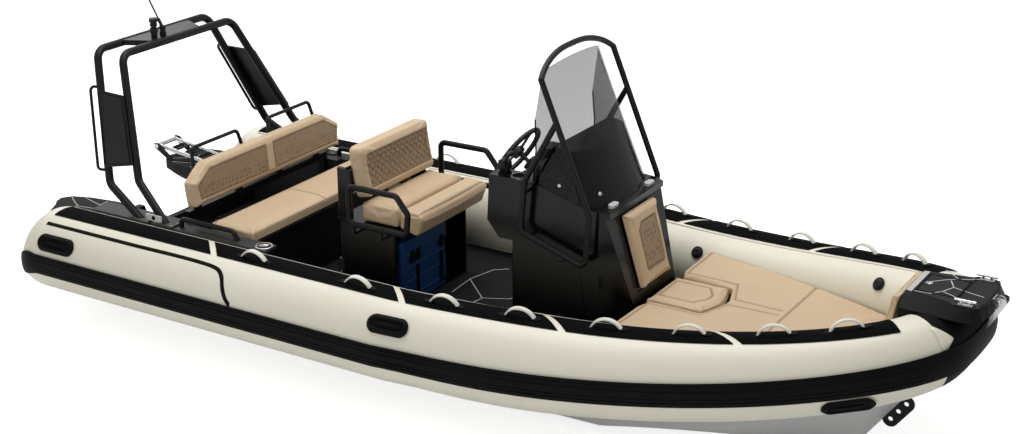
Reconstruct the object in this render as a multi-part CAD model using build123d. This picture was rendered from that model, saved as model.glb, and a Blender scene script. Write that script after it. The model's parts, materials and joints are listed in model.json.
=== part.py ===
from build123d import *
from math import atan2, cos, degrees, hypot, radians, sin, sqrt
import os

# Rigid inflatable boat, 5.8 m class.
# Frame: +X to the bow, +Y to port, +Z up; origin on the centreline at the waterline.

# ---- buoyancy tubes ----
TUBE_R = 246.0            # tube radius along the side
TUBE_Y = 926.0            # tube centreline to boat centreline, along the side
TUBE_Z = 410.0            # tube centreline above the waterline, along the side
TUBE_AFT_X = -2400.0      # aft end of the cylindrical tube
CONE_LENGTH = 240.0       # stern cone beyond that
CONE_TIP_R = 95.0
CONE_DROP = 90.0          # the cone's tip is this far below the tube centreline
CURVE_X = 0.0             # where the tube starts to curve inboard
BOW_X = 2628.0            # tube centreline at the nose
SHEER_X = 480.0           # where the tube starts to rise
SHEER_R = 8200.0          # radius of that rise in side view
BOW_TUBE_R = 188.0        # tube radius where the nose starts
NOSE_R = 176.0            # tube radius at the nose
NOSE_T = 0.28             # share of TUBE_Y at which the nose piece starts
TUBE_RISE_LAG = 320.0     # the tube thins out from this far ahead of SHEER_X

# ---- hull and deck ----
KEEL_Z = -270.0
CHINE_Y = 700.0
CHINE_Z = 10.0
DECK_Z = 235.0            # top of the deck
DECK_T = 12.0
TRANSOM_X = -2330.0
TRANSOM_T = 45.0
TRANSOM_TOP_Z = 520.0
TUBE_CLEAR = 6.0          # deck and fittings to the tubes

SOLE_KNEE = 0.22          # share of the bow length where the sole starts to narrow
COCKPIT_END = 0.87        # share of the bow length where the sole ends
HULL_SKIN = 25.0          # hull left outside the sole at the bow
WELL_FRONT_X = -2050.0    # splash well forward of the transom
WELL_HALF = 270.0
WELL_FLOOR_Z = 40.0
TRANSOM_NOTCH_HALF = 300.0
ENGINE_SEAT_Z = 365.0     # top of the transom where an outboard hangs
ENGINE_HOLE_Y = 327.0
ENGINE_HOLE_Z = 203.0
ENGINE_HOLE_TOP_Z = 305.0
ENGINE_HOLE_R = 6.6
TOW_EYE_Y = 560.0
TOW_EYE_Z = 150.0
TOW_EYE_R = 8.0

# ---- tube fittings ----
STRAKE_T = 12.0
STRAKE_LOW = -17.5        # degrees from outboard
STRAKE_HIGH = 10.0
STRAKE_BOW_LOW = -13.0
STRAKE_BOW_HIGH = 26.0
STRAKE_ANGLES = (STRAKE_LOW, STRAKE_HIGH, STRAKE_BOW_LOW, STRAKE_BOW_HIGH)
STRAKE_GAP = 1.5
PANEL_T = 4.5
PANEL_LIFT = 1.0
PANEL_ANGLES = (72.0, 106.0, 68.0, 112.0)  # outer and inner edge, aft and at the bow
PANEL_GAP = 32.0
PANEL_SLANT = 44.0        # degrees the gaps slant across the tube
PANEL_AFT_X = -2380.0
PANEL_FRONT_X = 2500.0
PANEL_GAPS = (-1244.0, 15.0, 898.0, 1780.0)
GRIPS = ((-2244.0, 29.0, 285.0), (63.0, 37.0, 245.0), (2280.0, -33.0, 260.0))  # x, angle, length
GRIP_WIDTH = 105.0
GRIP_T = 16.0
HANDLE_XS = (-923.0, -224.0, 296.0, 721.0, 1184.0, 1603.0, 2004.0, 2322.0)
HANDLE_ANGLE = 83.0       # along the side
HANDLE_BOW_ANGLE = 92.0   # where the tube curves in
HANDLE_LENGTH = 165.0
HANDLE_LIFT = 5.0         # over the tread panel's middle, which curves away under the foot
HANDLE_RISE = 48.0
HANDLE_T = 8.0            # the strap's thickness
HANDLE_WIDTH = 26.0
VALVE_XS = (1034.0, 2225.0)
VALVE_ANGLE = 147.0
VALVE_R = 36.0

# ---- stern fittings ----
PLATFORM_AFT_X = -2871.0
PLATFORM_Z = 499.0
PLATFORM_T = 105.0
PLATFORM_IN = 350.0       # inner edge to the centreline, clear of an outboard
PLATFORM_CUT = 42.0       # height of the cut lower edges
PLATFORM_KEEL = 0.86      # size of the underside to the outline
# x from the aft end and half-breadth, round the pod's outline from the inner edge
PLATFORM_OUTLINE = ((336.0, 358.0), (151.0, 386.0), (42.0, 428.0), (0.0, 487.0), (22.0, 545.0),
                    (62.0, 596.0), (137.0, 735.0), (250.0, 760.0))
LADDER_R = 13.0
LADDER_BARREL_R = 15.0
LADDER_RUNG = 45.0
LADDER_PIVOT_OUT = 24.0
LADDER_LENGTH = 420.0
LADDER_WIDTH = 160.0
LADDER_Y = 522.0
LADDER_RUNG_T = 16.0
EAR_HALF = 18.0           # half the ear's width at the barrel
EAR_T = 10.0
EAR_OUT = 20.0            # ear's middle to the rail
EAR_FOOT = (74.0, 130.0)  # where its foot lies, from the platform's aft end
LADDER_TILT = 7.5         # degrees the folded ladder dips towards the bow
SIDE_DECK_AFT_X = -2280.0
SIDE_DECK_FRONT_X = -975.0
SIDE_DECK_Z = 640.0
SIDE_DECK_LEG_Z = 560.0
SIDE_WALL_IN = 16.0
CUP_R = 38.0
CUP_DEPTH = 62.0
CUP_X = -1030.0
CUP_Y = 742.0
STERN_CUP_DEPTH = 28.0    # shallow, the tube bulges below it
GRAB_TOP_Z = 1043.0
GRAB_R = 11.0
GRAB_Y0 = 118.0
GRAB_Y1 = 572.0
GRAB_SPLAY = 25.0         # the grab rails' feet spread by this
GRAB_BACK = 30.0          # and the rails lean aft by this
GRAB_BEND = 30.0

# ---- stern bench ----
BENCH_FRONT_X = -1148.0
BENCH_REAR_X = -1480.0
BENCH_SWING = 95.0        # room aft of the bench for the seat as it tips up
BENCH_TOP_Z = 676.0
BENCH_CUSHION_T = 68.0
BENCH_HALF = 690.0
BENCH_BACK_X = -1570.0    # front of the backrest at mid height
BENCH_BACK_T = 78.0
BENCH_BACK_LOW_Z = 733.0
BENCH_BACK_TOP_Z = 992.0
BENCH_BACK_CUT = (140.0, 97.0)  # width and height of its cut upper corners
BENCH_BACK_FLARE = 12.0   # each end leans out by this
BENCH_BACK_DROP = 24.0    # aft lean of its face over its height
BACK_POSTS = (-560.0, -190.0, 190.0, 560.0)
BENCH_RAIL_RISE = 48.0
BENCH_RAIL_R = 15.0

# ---- helm seat ----
POD_FRONT_X = -396.0
POD_REAR_X = -800.0
POD_HALF = 375.0
POD_TOP_Z = 735.0
HELM_CUSHION_TOP_Z = 852.0
HELM_CUSHION_HALF = 345.0
BOLSTER_FRONT_X = -229.0
BOLSTER_GAP_X = -392.0
ARM_Y = 462.0
ARM_R = 17.0
ARM_LOOP = ((-640.0, 764.0), (-255.0, 764.0), (-243.0, 889.0), (-320.0, 982.0), (-640.0, 980.0))
ARM_BEND = 32.0
ARM_FOOT_DROP = 35.0      # its feet below the pod's top

POD_WALL = 24.0
HELM_POST = (15.0, 110.0)  # its two edges, from the pod's rear
HELM_POST_Z = 1040.0
HELM_BACK_X = -618.0      # front of the helm backrest at mid height
HELM_BACK_T = 92.0
HELM_BACK_HEIGHT = 315.0
HELM_BACK_GAP = 12.0
HELM_LEAN = 10.0
BOLSTER_LOW_Z = 712.0
COOL_X0 = -750.0
COOL_X1 = -398.0
COOL_Y0 = -300.0
COOL_Y1 = 140.0
COOL_HEIGHT = 400.0

# ---- console ----
CONSOLE_HALF = 330.0
CONSOLE_AFT_X = 337.0
CONSOLE_FACE_TOP_X = 895.0  # front face, behind the seat cushion
CONSOLE_FACE_LOW_X = 1033.0
CONSOLE_FACE_LOW_Z = 560.0
DASH_AFT_X = 196.0
DASH_Z = 1165.0
DASH_LOW_Z = 817.0
DASH_BULGE = 12.0         # lower edge of the dash, aft of its top
SHELF_Z = 1068.0
LIP_T = 30.0
CONSOLE_BEND_X = 866.0    # where the sides turn in towards the front
CONSOLE_NOSE_HALF = 240.0
CONSOLE_SHELF_X = 915.0   # front edge of the shelf ahead of the screen
CONSOLE_WALL = 16.0
COWL_AFT = ((470.0, 1165.0), (579.0, 1380.0))  # aft edge of the cowl, x and z
COWL_TOP = ((579.0, 1380.0), (742.0, 1345.0))  # its top
COWL_GAP = 9.0            # cowl to the outside of the screen
DASH_RECESS_HALF = 205.0
DASH_RECESS = 130.0       # its depth
LIGHT_LENGTH = 79.0
LIGHT_WIDTH = 35.0
DASH_CUP_X = 350.0
DASH_CUP_Y = 272.0
LIGHT_HALF = 203.0
DOOR_TOP_HALF = 176.0
DOOR_LOW_HALF = 159.0
DOOR_TOP_Z = 1022.0
DOOR_LOW_Z = 612.0
DOOR_GAP = 6.0
DOOR_T = 14.0
DOOR_PAD_T = 48.0
HOOP_R = 16.0
HOOP_HALF = 387.0
HOOP_LOOP = ((452.0, 1190.0), (427.0, 905.0), (818.0, 775.0), (838.0, 1065.0))  # x and z, knee to foot
HOOP_JOINT_Z = 1535.0     # where the loop meets the leg
HOOP_STUBS = ((480.0, 888.0), (780.0, 788.0), (446.0, 1120.0))
HOOP_STUB_R = 9.0
SCREEN_T = 5.0
SCREEN_LOW = (751.0, 330.0, 112.0, 1096.0)  # corner x and y, bulge of the front, height
SCREEN_HIGH = (504.0, 300.0, 41.0, 1757.0)
SCREEN_CREST = (525.0, 1798.0)   # x and z of the top edge on the centreline
SCREEN_WING = ((466.0, 1506.0), (478.0, 1340.0), (466.0, 1170.0))  # aft edge of the wings, x and z
SCREEN_SHARES = (1.0, 0.97, 0.9, 0.78, 0.6, 0.4, 0.2)  # of the half-breadth, round the front
HOOP_CROWN = ((530.0, 319.0, 1793.0), (516.0, 225.0, 1827.0), (508.0, 108.0, 1847.0))
HOOP_TOP = (507.0, 0.0, 1850.0)
HOOP_SHOULDER = (547.0, 387.0, 1750.0)
WHEEL_R = 158.0
WHEEL_X = 180.0
WHEEL_Z = 1190.0
WHEEL_TILT = 32.0         # degrees the wheel's face looks up
WHEEL_SHAFT = 110.0
WHEEL_RIM_R = 14.0
WHEEL_HUB_R = 38.0
SHAFT_R = 12.0
THROTTLE_LEAN = 48.0      # its knob ahead of the base
THROTTLE_RISE = 104.0

# ---- bow ----
PAD_TOP_Z = 588.0
PAD_T = 55.0
PAD_AFT_X = 1065.0
BOW_LOCKER_WALL = 18.0
STEP_AFT_X = 2440.0
STEP_TOP_Z = 925.0

BOW_BACK_HEIGHT = 200.0
STEP_SKIRT_HALF = 225.0
STEP_SKIRT_FRONT_X = 2640.0
STEP_BLOCK_Z = 868.0      # lower edge of the part that lies over the nose
# half-outline of the step, x and half-breadth: its top, then its lower edge
STEP_TOP = ((2440.0, 142.0), (2704.0, 196.0), (2778.0, 212.0), (2806.0, 178.0), (2828.0, 105.0))
STEP_LOW = ((2436.0, 228.0), (2704.0, 252.0), (2800.0, 250.0), (2832.0, 190.0), (2848.0, 110.0))
BOW_BACK_HALF = 190.0
BOW_BACK_T = 38.0
BOW_BACK_LEAN = 12.0
LID_AFT_EDGE = 44.0
LID_FRONT_X = 2684.0
LID_HALF = 112.0
LID_GAP = 5.0
STEP_LOW_Z = 560.0
LOCKER_WALL = 14.0        # lid's edge to the anchor locker's wall
LOCKER_FLOOR = 130.0      # its floor above the skirt's foot
HATCH_HALF = 184.0
HATCH_FRONT_X = 1440.0
PAD_JOINT_X = 1770.0
PAD_SEAM = 6.0
PAD_CLEAR = 3.0           # cushion to tube
ROLLER_X = 2862.0
ROLLER_R = 24.0
ROLLER_DROP = 12.0        # its axis below the step's top
ROLLER_PIN_R = 7.0
ROLLER_SIDE = 5.0         # roller's end to the cheek's middle
ROLLER_WEB = 50.0         # height of the plate that joins the cheeks
CHEEK_Y = 30.0
CHEEK_T = 6.0
# outline of the roller's cheeks, x and z
CHEEK = ((2829.0, 925.0), (2872.0, 938.0), (2893.0, 930.0), (2896.0, 908.0), (2832.0, 790.0),
         (2815.0, 760.0), (2829.0, 860.0))
CLEAT_X = 2742.0
CLEAT_Y = 178.0
CLEAT_HALF = 52.0
CLEAT_RISE = 24.0
CLEAT_R = 7.0
EYE_LOW = (2371.0, 144.5)  # bow eye plate on the stem, x and z of its ends
EYE_HIGH = (2461.0, 265.5)
EYE_WIDTH = 84.0
EYE_T = 10.0
EYE_HOLE_R = 13.0

# ---- stern arch ----
ARCH_R = 24.0
ARCH_FOOT_T = 9.0
ARCH_TOP_Z = 1512.0
ARCH_TOP_HALF = 488.0
ARCH_FRONT_X = -2244.0
ARCH_REAR_X = -2443.0
# foot x and half-breadth, knee x, half-breadth and z, and top x of each leg
FRONT_LEG = ((-1715.0, 768.0), (-1966.0, 719.0, 844.0), ARCH_FRONT_X)
REAR_LEG = ((-1890.0, 778.0), (-2189.0, 728.0, 790.0), ARCH_REAR_X)
ARCH_BEND = 85.0
FOOT_HALF = 62.0
SIDE_PANEL_SHARES = ((True, 0.33), (True, 0.88), (False, 0.88), (False, 0.30))  # leg and share of its run
SIDE_PANEL_OUT = 5.0      # panel to the legs
SIDE_PANEL_T = 8.0
BAR_SHARES = (0.28, 0.9)  # where the thin bars meet the rear legs
BAR_OUT = 74.0
BAR_R = 9.0
PLATE_Z = ARCH_TOP_Z + 12.0
PLATE_T = 7.0
PLATE_LIP = 26.0
PLATE_LIP_GAP = 5.0       # the lips stop this far short of the plate's front and back
PLATE_AFT_HALF = 290.0
PLATE_FRONT_HALF = 213.0
# radius and height of each turned step, from the foot up
LIGHT_ROWS = ((19.0, 30.0), (24.0, 26.0), (16.0, 12.0), (22.0, 18.0), (14.0, 8.0), (26.0, 22.0))
LIGHT_X = -2308.0
LIGHT_Y = -140.0
ANTENNA_ROWS = ((20.0, 24.0), (15.0, 10.0), (19.0, 26.0))
ANTENNA_X = -2296.0
ANTENNA_Y = -76.0
ANTENNA_LENGTH = 1000.0
ANTENNA_RAKE = 30.0       # degrees aft of upright

SIDES = (-1, 1)           # starboard, port
LID_T = 12.0
FIT = 0.5                 # gap between curved pieces that lie on each other


def save(name, shape):
    os.makedirs("parts", exist_ok=True)
    export_step(shape, "parts/" + name + ".step")


def solids_of(*shapes):
    found = []
    for shape in shapes:
        found.extend(shape.solids())
    return Compound(children=found) if len(found) > 1 else found[0]


def block(x0, x1, y0, y1, z0, z1):
    box = Box(x1 - x0, y1 - y0, z1 - z0)
    return Pos((x0 + x1) / 2, (y0 + y1) / 2, (z0 + z1) / 2) * box


def soft_block(x0, x1, y0, y1, z0, z1, radius):
    box = block(x0, x1, y0, y1, z0, z1)
    return fillet(box.edges(), radius)


def mirrored(shape):
    return mirror(shape, about=Plane.XZ)


def side_profile(points, y0, y1):
    """Closed outline in X and Z, extruded from y0 to y1."""
    face = make_face(Polyline(*[(x, 0, z) for x, z in points], close=True))
    return Pos(0, y1, 0) * extrude(face, amount=y1 - y0, dir=(0, -1, 0))


def top_profile(points, z0, z1):
    """Closed outline in X and Y, extruded from z0 to z1."""
    return extrude(level_face(points, z0), amount=z1 - z0, dir=(0, 0, 1))


def level_face(points, z):
    return make_face(Polyline(*[(x, y, z) for x, y in points], close=True))


def bent_tube(points, radius, bend):
    """Round tube along straight runs with rounded corners."""
    line = FilletPolyline(*points, radius=bend)
    start = Plane(origin=line @ 0, z_dir=line % 0)
    return sweep(start * Circle(radius), path=line)


def rod(a, b, radius):
    a = Vector(*a)
    b = Vector(*b)
    plane = Plane(origin=a, z_dir=b - a)
    return extrude(plane * Circle(radius), amount=(b - a).length)


# ---- the tube's centreline ----

def tube_station(t):
    """Centre, direction and radius where the half-breadth is t times TUBE_Y on the bow curve."""
    share = (1 - t ** 3) ** (1 / 1.17)
    x = CURVE_X + (BOW_X - CURVE_X) * share
    y = TUBE_Y * t
    rise = max(0.0, x - SHEER_X)
    z = TUBE_Z + rise * rise / (2 * SHEER_R)
    start = SHEER_X + TUBE_RISE_LAG
    taper = max(0.0, (x - start) / (BOW_X - start))
    radius = TUBE_R - (TUBE_R - BOW_TUBE_R) * taper
    nose = max(0.0, 1 - t / (1.4 * NOSE_T))
    return x, y, z, radius - (BOW_TUBE_R - NOSE_R) * nose ** 1.5


def tube_frame(t, side):
    """Section plane on the bow curve: its X points outboard, its Y up, its Z forward."""
    x, y, z, radius = tube_station(t)
    step = 0.004
    ahead = tube_station(max(0.0, t - step))
    behind = tube_station(min(1.0, t + step))
    if t < step:
        direction = Vector(0, -side, 0)
    elif t > 1 - step:
        direction = Vector(1, 0, 0)
    else:
        direction = Vector(ahead[0] - behind[0], side * (ahead[1] - behind[1]), ahead[2] - behind[2])
    up = Vector(0, 0, 1)
    outboard = direction.cross(up) if side < 0 else up.cross(direction)
    return Plane(origin=(x, side * y, z), x_dir=outboard, z_dir=direction), radius


def straight_frame(x, side, drop=0.0):
    plane = Plane(origin=(x, side * TUBE_Y, TUBE_Z - drop), x_dir=(0, side, 0), z_dir=(1, 0, 0))
    return plane


def cone_frames(side):
    """Sections of the stern cone: share of the length, share of the drop, radius."""
    rows = ((1.0, 1.0, CONE_TIP_R), (0.8, 0.72, 0.66 * TUBE_R), (0.4, 0.2, 0.93 * TUBE_R))
    return [(straight_frame(TUBE_AFT_X - along * CONE_LENGTH, side, drop * CONE_DROP), radius)
            for along, drop, radius in rows]


def sector(plane, inner, outer, low, high):
    """Closed ring sector in the section plane, angles in degrees up from outboard."""

    def place(radius, angle):
        a = radians(angle)
        up = Vector(0, 0, 1)
        tilt = (up - plane.z_dir * up.dot(plane.z_dir)).normalized()
        return plane.origin + plane.x_dir * (radius * cos(a)) + tilt * (radius * sin(a))

    mid = (low + high) / 2
    wire = Wire([
        ThreePointArc(place(outer, low), place(outer, mid), place(outer, high)).edge(),
        Line(place(outer, high), place(inner, high)).edge(),
        ThreePointArc(place(inner, high), place(inner, mid), place(inner, low)).edge(),
        Line(place(inner, low), place(outer, low)).edge(),
    ])
    return make_face(wire.edges())


CURVE_T = (1.0, 0.97, 0.92, 0.84, 0.73, 0.6, 0.46, NOSE_T)
NOSE_STATIONS = (NOSE_T, 0.2, 0.0)


def tube_solid(side, extra=0.0):
    cone = cone_frames(side)
    cone.append((straight_frame(TUBE_AFT_X, side), TUBE_R))
    cone_faces = [plane * Circle(radius + extra) for plane, radius in cone]
    stern = loft(cone_faces)
    straight = extrude(straight_frame(TUBE_AFT_X, side) * Circle(TUBE_R + extra), amount=CURVE_X - TUBE_AFT_X)
    faces = []
    for t in CURVE_T:
        plane, radius = tube_frame(t, side)
        faces.append(plane * Circle(radius + extra))
    return stern + straight + loft(faces)


def nose_solid(extra=0.0):
    faces = []
    for side, stations in ((-1, NOSE_STATIONS), (1, NOSE_STATIONS[-2::-1])):
        for t in stations:
            plane, radius = tube_frame(t, side)
            if side > 0:
                plane = Plane(origin=plane.origin, x_dir=plane.x_dir, z_dir=plane.z_dir * -1)
            faces.append(plane * Circle(radius + extra))
    return loft(faces)


def t_at(x):
    """The bow curve's parameter where its centreline passes x."""
    share = min(1.0, max(0.0, (x - CURVE_X) / (BOW_X - CURVE_X)))
    return (1 - share ** 1.17) ** (1 / 3)


def inner_half(x, z, clear=TUBE_CLEAR):
    """Half-breadth of the free space between the tubes at x and height z."""
    if x <= CURVE_X:
        y, centre_z, radius = TUBE_Y, TUBE_Z, TUBE_R
    else:
        _, y, centre_z, radius = tube_station(t_at(x))
    reach = radius * radius - (z - centre_z) ** 2
    return y - (sqrt(reach) if reach > 0 else 0.0) - clear


def tube_point(x, side, angle, lift=0.0):
    """Point on the tube's skin at x, angle in degrees up from outboard, and the section there."""
    if x <= CURVE_X:
        plane, radius = straight_frame(x, side), TUBE_R
    else:
        plane, radius = tube_frame(t_at(x), side)
    a = radians(angle)
    up = Vector(0, 0, 1)
    tilt = (up - plane.z_dir * up.dot(plane.z_dir)).normalized()
    out = plane.x_dir * cos(a) + tilt * sin(a)
    return plane.origin + out * (radius + lift), out, plane.z_dir


# ---- hull, deck and transom ----

def hull_section(x, keel_z, chine_y, chine_z, tuck=0.41):
    """Half-section corners: keel, chine, and the top edge tucked into the tube."""
    if x <= CURVE_X:
        y, z, radius = TUBE_Y, TUBE_Z, TUBE_R
    else:
        _, y, z, radius = tube_station(t_at(x))
    top_z = z - 0.76 * radius
    return [(x, 0, keel_z), (x, chine_y, chine_z), (x, y - tuck * radius, top_z)]


def hull_sections():
    # x, keel z, chine half-breadth, chine z, tuck of the top edge under the tube
    rows = (
        (TRANSOM_X + TRANSOM_T, KEEL_Z, CHINE_Y, CHINE_Z, 0.41),
        (0.4 * BOW_X, KEEL_Z, 0.91 * CHINE_Y, CHINE_Z + 30, 0.41),
        (0.64 * BOW_X, KEEL_Z + 75, 0.71 * CHINE_Y, CHINE_Z + 130, 0.41),
        (0.85 * BOW_X, KEEL_Z + 270, 0.42 * CHINE_Y, CHINE_Z + 280, 0.41),
        (0.98 * BOW_X, TUBE_Z + 60, 0.04 * CHINE_Y, TUBE_Z + 70, 0.9),
    )
    return [hull_section(*row) for row in rows]


def hull_half(x, z):
    """Half-breadth of the hull at x and height z, between its keel and its top edge."""
    sections = hull_sections()
    for aft, fore in zip(sections, sections[1:]):
        if aft[0][0] <= x <= fore[0][0]:
            share = (x - aft[0][0]) / (fore[0][0] - aft[0][0])
            keel, chine, edge = [lerp(a, b, share) for a, b in zip(aft, fore)]
            low, high = (keel, chine) if z < chine[2] else (chine, edge)
            return low[1] + (high[1] - low[1]) * (z - low[2]) / (high[2] - low[2])
    return TUBE_Y


def section_face(half):
    port = half[1:]
    starboard = [(x, -y, z) for x, y, z in reversed(port)]
    return make_face(Polyline(half[0], *port, *starboard, close=True))


def cockpit_outline(margin):
    """Half-breadths of the cockpit sole, aft to bow."""
    half = inner_half(0.0, DECK_Z) - margin
    knee = SOLE_KNEE * BOW_X
    knee_half = inner_half(knee, DECK_Z) - 4 - margin
    rows = [(TRANSOM_X + TRANSOM_T + margin, half), (0.0, half), (knee, knee_half)]
    for share in (0.42, 0.55, 0.68, 0.8, COCKPIT_END):
        x = share * BOW_X
        _, y, _, radius = tube_station(t_at(x))
        inside = min(y - radius - 2 * TUBE_CLEAR, hull_half(x, DECK_Z - DECK_T) - HULL_SKIN)
        rows.append((x, inside - margin))
    rows[-1] = (rows[-1][0] - margin, rows[-1][1])
    return rows + [(x, -y) for x, y in reversed(rows)]


def hull():
    body = loft([section_face(half) for half in hull_sections()], ruled=True)
    body -= top_profile(cockpit_outline(0.0), DECK_Z - DECK_T, DECK_Z + 800)
    well = block(TRANSOM_X, WELL_FRONT_X, -WELL_HALF, WELL_HALF, WELL_FLOOR_Z, DECK_Z)
    body -= well
    for side in SIDES:
        body -= tube_solid(side, FIT)
    body -= nose_solid(FIT)
    return max(body.solids(), key=lambda s: s.volume)


def deck():
    plate = top_profile(cockpit_outline(1.0), DECK_Z - DECK_T, DECK_Z)
    return plate - block(TRANSOM_X, WELL_FRONT_X, -WELL_HALF, WELL_HALF, 0, DECK_Z + 1)


def transom():
    half = hull_section(TRANSOM_X, KEEL_Z, CHINE_Y, CHINE_Z)
    upper = inner_half(0.0, TUBE_Z)
    top = TRANSOM_TOP_Z
    notch = TRANSOM_NOTCH_HALF
    low = ENGINE_SEAT_Z
    rim = [(upper, TUBE_Z), (upper, top), (notch + 60, top), (notch, low)]
    port = [(y, z) for _, y, z in half[1:]] + rim
    points = [(0, KEEL_Z)] + port + [(-y, z) for y, z in reversed(port)]
    face = make_face(Polyline(*[(TRANSOM_X, y, z) for y, z in points], close=True))
    plate = extrude(face, amount=TRANSOM_T - 1.0, dir=(1, 0, 0))
    for side in SIDES:
        plate -= tube_solid(side, FIT)
    for y in (-ENGINE_HOLE_Y / 2, ENGINE_HOLE_Y / 2):
        for z in (ENGINE_HOLE_TOP_Z, ENGINE_HOLE_TOP_Z - ENGINE_HOLE_Z):
            plate -= rod((TRANSOM_X - 1, y, z), (TRANSOM_X + TRANSOM_T, y, z), ENGINE_HOLE_R)
        eye_y = TOW_EYE_Y if y > 0 else -TOW_EYE_Y
        plate -= rod((TRANSOM_X - 1, eye_y, TOW_EYE_Z), (TRANSOM_X + TRANSOM_T, eye_y, TOW_EYE_Z), TOW_EYE_R)
    return max(plate.solids(), key=lambda s: s.volume)


# ---- what lies on the tubes ----

def strip(side, x0, x1, inner, outer, angles):
    """Band along the tube's skin, straight then curved; angles are low and high, aft and at the bow."""
    low, high, bow_low, bow_high = angles
    face = sector(straight_frame(x0, side), TUBE_R + inner, TUBE_R + outer, low, high)
    straight = extrude(face, amount=CURVE_X - x0, dir=(1, 0, 0))
    last = t_at(x1)
    faces = []
    for t in [t for t in CURVE_T if t > last + 0.03] + [last]:
        plane, radius = tube_frame(t, side)
        share = (1 - t) / (1 - NOSE_T)
        faces.append(sector(plane, radius + inner, radius + outer,
                            low + (bow_low - low) * share, high + (bow_high - high) * share))
    return straight + loft(faces)


def stern_strip(side):
    """The strake's end round the stern cone."""
    faces = []
    for plane, radius in cone_frames(side):
        faces.append(sector(plane, radius + STRAKE_GAP, radius + STRAKE_T, STRAKE_LOW - 4, STRAKE_HIGH + 4))
    plane = straight_frame(TUBE_AFT_X, side)
    faces.append(sector(plane, TUBE_R + STRAKE_GAP, TUBE_R + STRAKE_T, STRAKE_LOW, STRAKE_HIGH))
    return loft(faces)


def rub_strake():
    found = []
    front_x = tube_station(NOSE_T)[0]
    for side in SIDES:
        run = strip(side, TUBE_AFT_X, front_x, STRAKE_GAP, STRAKE_T, STRAKE_ANGLES)
        found.append(run + stern_strip(side))
    return solids_of(*found)


def nose_band(outer):
    faces = []
    for side, stations in ((-1, NOSE_STATIONS), (1, NOSE_STATIONS[-2::-1])):
        for t in stations:
            plane, radius = tube_frame(t, side)
            if side > 0:
                plane = Plane(origin=plane.origin, x_dir=plane.x_dir, z_dir=plane.z_dir * -1)
            faces.append(sector(plane, radius - 20, radius + outer, STRAKE_BOW_LOW, STRAKE_BOW_HIGH))
    return loft(faces)


def nose():
    """Black nose piece that joins the two tubes, with the strake's band round it."""
    body = nose_solid() + nose_band(STRAKE_T)
    return max(body.solids(), key=lambda s: s.volume)


def tread_panels():
    """Five grip panels along the top of each tube, with slanted gaps between them."""
    found = []
    for side in SIDES:
        band = strip(side, PANEL_AFT_X, PANEL_FRONT_X, PANEL_LIFT, PANEL_T, PANEL_ANGLES)
        for x in PANEL_GAPS:
            top = on_tube(x, side, 90.0)
            band -= top * Rot(0, 0, -side * PANEL_SLANT) * Box(PANEL_GAP, 2 * TUBE_R, TUBE_R)
        found.append(band)
    return solids_of(*found)


def on_tube(x, side, angle, lift=0.0):
    """Plane lying on the tube's skin: X along the tube, Z out of the skin."""
    point, out, along = tube_point(x, side, angle, lift)
    return Plane(origin=point, x_dir=along, z_dir=out)


def grip_patches():
    """Oval grips low on the sides, each a raised pad with a hollow behind the bar."""
    found = []
    for x, angle, length in GRIPS:
        for side in SIDES:
            plane = on_tube(x, side, angle, FIT + 2)
            pad = plane * extrude(SlotOverall(length, GRIP_WIDTH), amount=GRIP_T)
            found.append(pad)
    return solids_of(*found)


def grab_handles():
    """Arched rubber handles along the tread panels."""
    found = []
    for x in HANDLE_XS:
        for side in SIDES:
            angle = HANDLE_ANGLE + (HANDLE_BOW_ANGLE - HANDLE_ANGLE) * max(0.0, x) / HANDLE_XS[-1]
            plane = on_tube(x, side, angle, PANEL_T + HANDLE_LIFT)
            half = HANDLE_LENGTH / 2
            outer = ThreePointArc((-half, 0), (0, HANDLE_RISE), (half, 0))
            foot = half - 1.3 * HANDLE_T
            inner = ThreePointArc((foot, 0), (0, HANDLE_RISE - HANDLE_T), (-foot, 0))
            edges = [outer, Line((half, 0), (foot, 0)), inner, Line((-foot, 0), (-half, 0))]
            face = make_face(edges)
            arch = extrude(face, amount=HANDLE_WIDTH / 2, both=True)
            upright = Plane(origin=plane.origin, x_dir=plane.x_dir, z_dir=plane.x_dir.cross(plane.z_dir))
            found.append(upright * arch)
    return solids_of(*found)


def valves():
    found = []
    for x in VALVE_XS:
        for side in SIDES:
            plane = on_tube(x, side, VALVE_ANGLE, 3 * FIT)
            found.append(plane * extrude(Circle(VALVE_R), amount=7))
    return solids_of(*found)


# ---- stern ----

def swim_platforms():
    """Small boarding platforms aft of the transom, one each side, the port one with the ladder's ears."""
    port = platform(1) + ladder_ears()
    return solids_of(port, platform(-1))


def platform(side):
    """Step pod behind the transom, rounded at its aft end, its lower edges cut away."""
    points = [(PLATFORM_AFT_X + x, y) for x, y in PLATFORM_OUTLINE]
    out = points[-1][1]
    points = [(TRANSOM_X - 1, PLATFORM_IN)] + points + [(TRANSOM_X - 1, out)]
    low_z = PLATFORM_Z - PLATFORM_T
    mid_y = (PLATFORM_IN + out) / 2
    under = [(TRANSOM_X - 1 + (x - TRANSOM_X) * PLATFORM_KEEL, mid_y + (y - mid_y) * PLATFORM_KEEL)
             for x, y in points]
    pod = loft([level_face(under, low_z), level_face(points, low_z + PLATFORM_CUT)], ruled=True)
    pod += top_profile(points, low_z + PLATFORM_CUT, PLATFORM_Z)
    pod -= tube_solid(1, 3 * FIT)
    pod = max(pod.solids(), key=lambda s: s.volume)
    return pod if side > 0 else mirrored(pod)


def ladder_place():
    """Plane at the ladder's barrel: X along the folded rails, dipping towards the bow."""
    rise = LADDER_LENGTH * sin(radians(LADDER_TILT))
    origin = (PLATFORM_AFT_X - LADDER_PIVOT_OUT, LADDER_Y, PLATFORM_Z + 2 * LADDER_R + rise)
    return Pos(*origin) * Rot(0, LADDER_TILT, 0)


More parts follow.
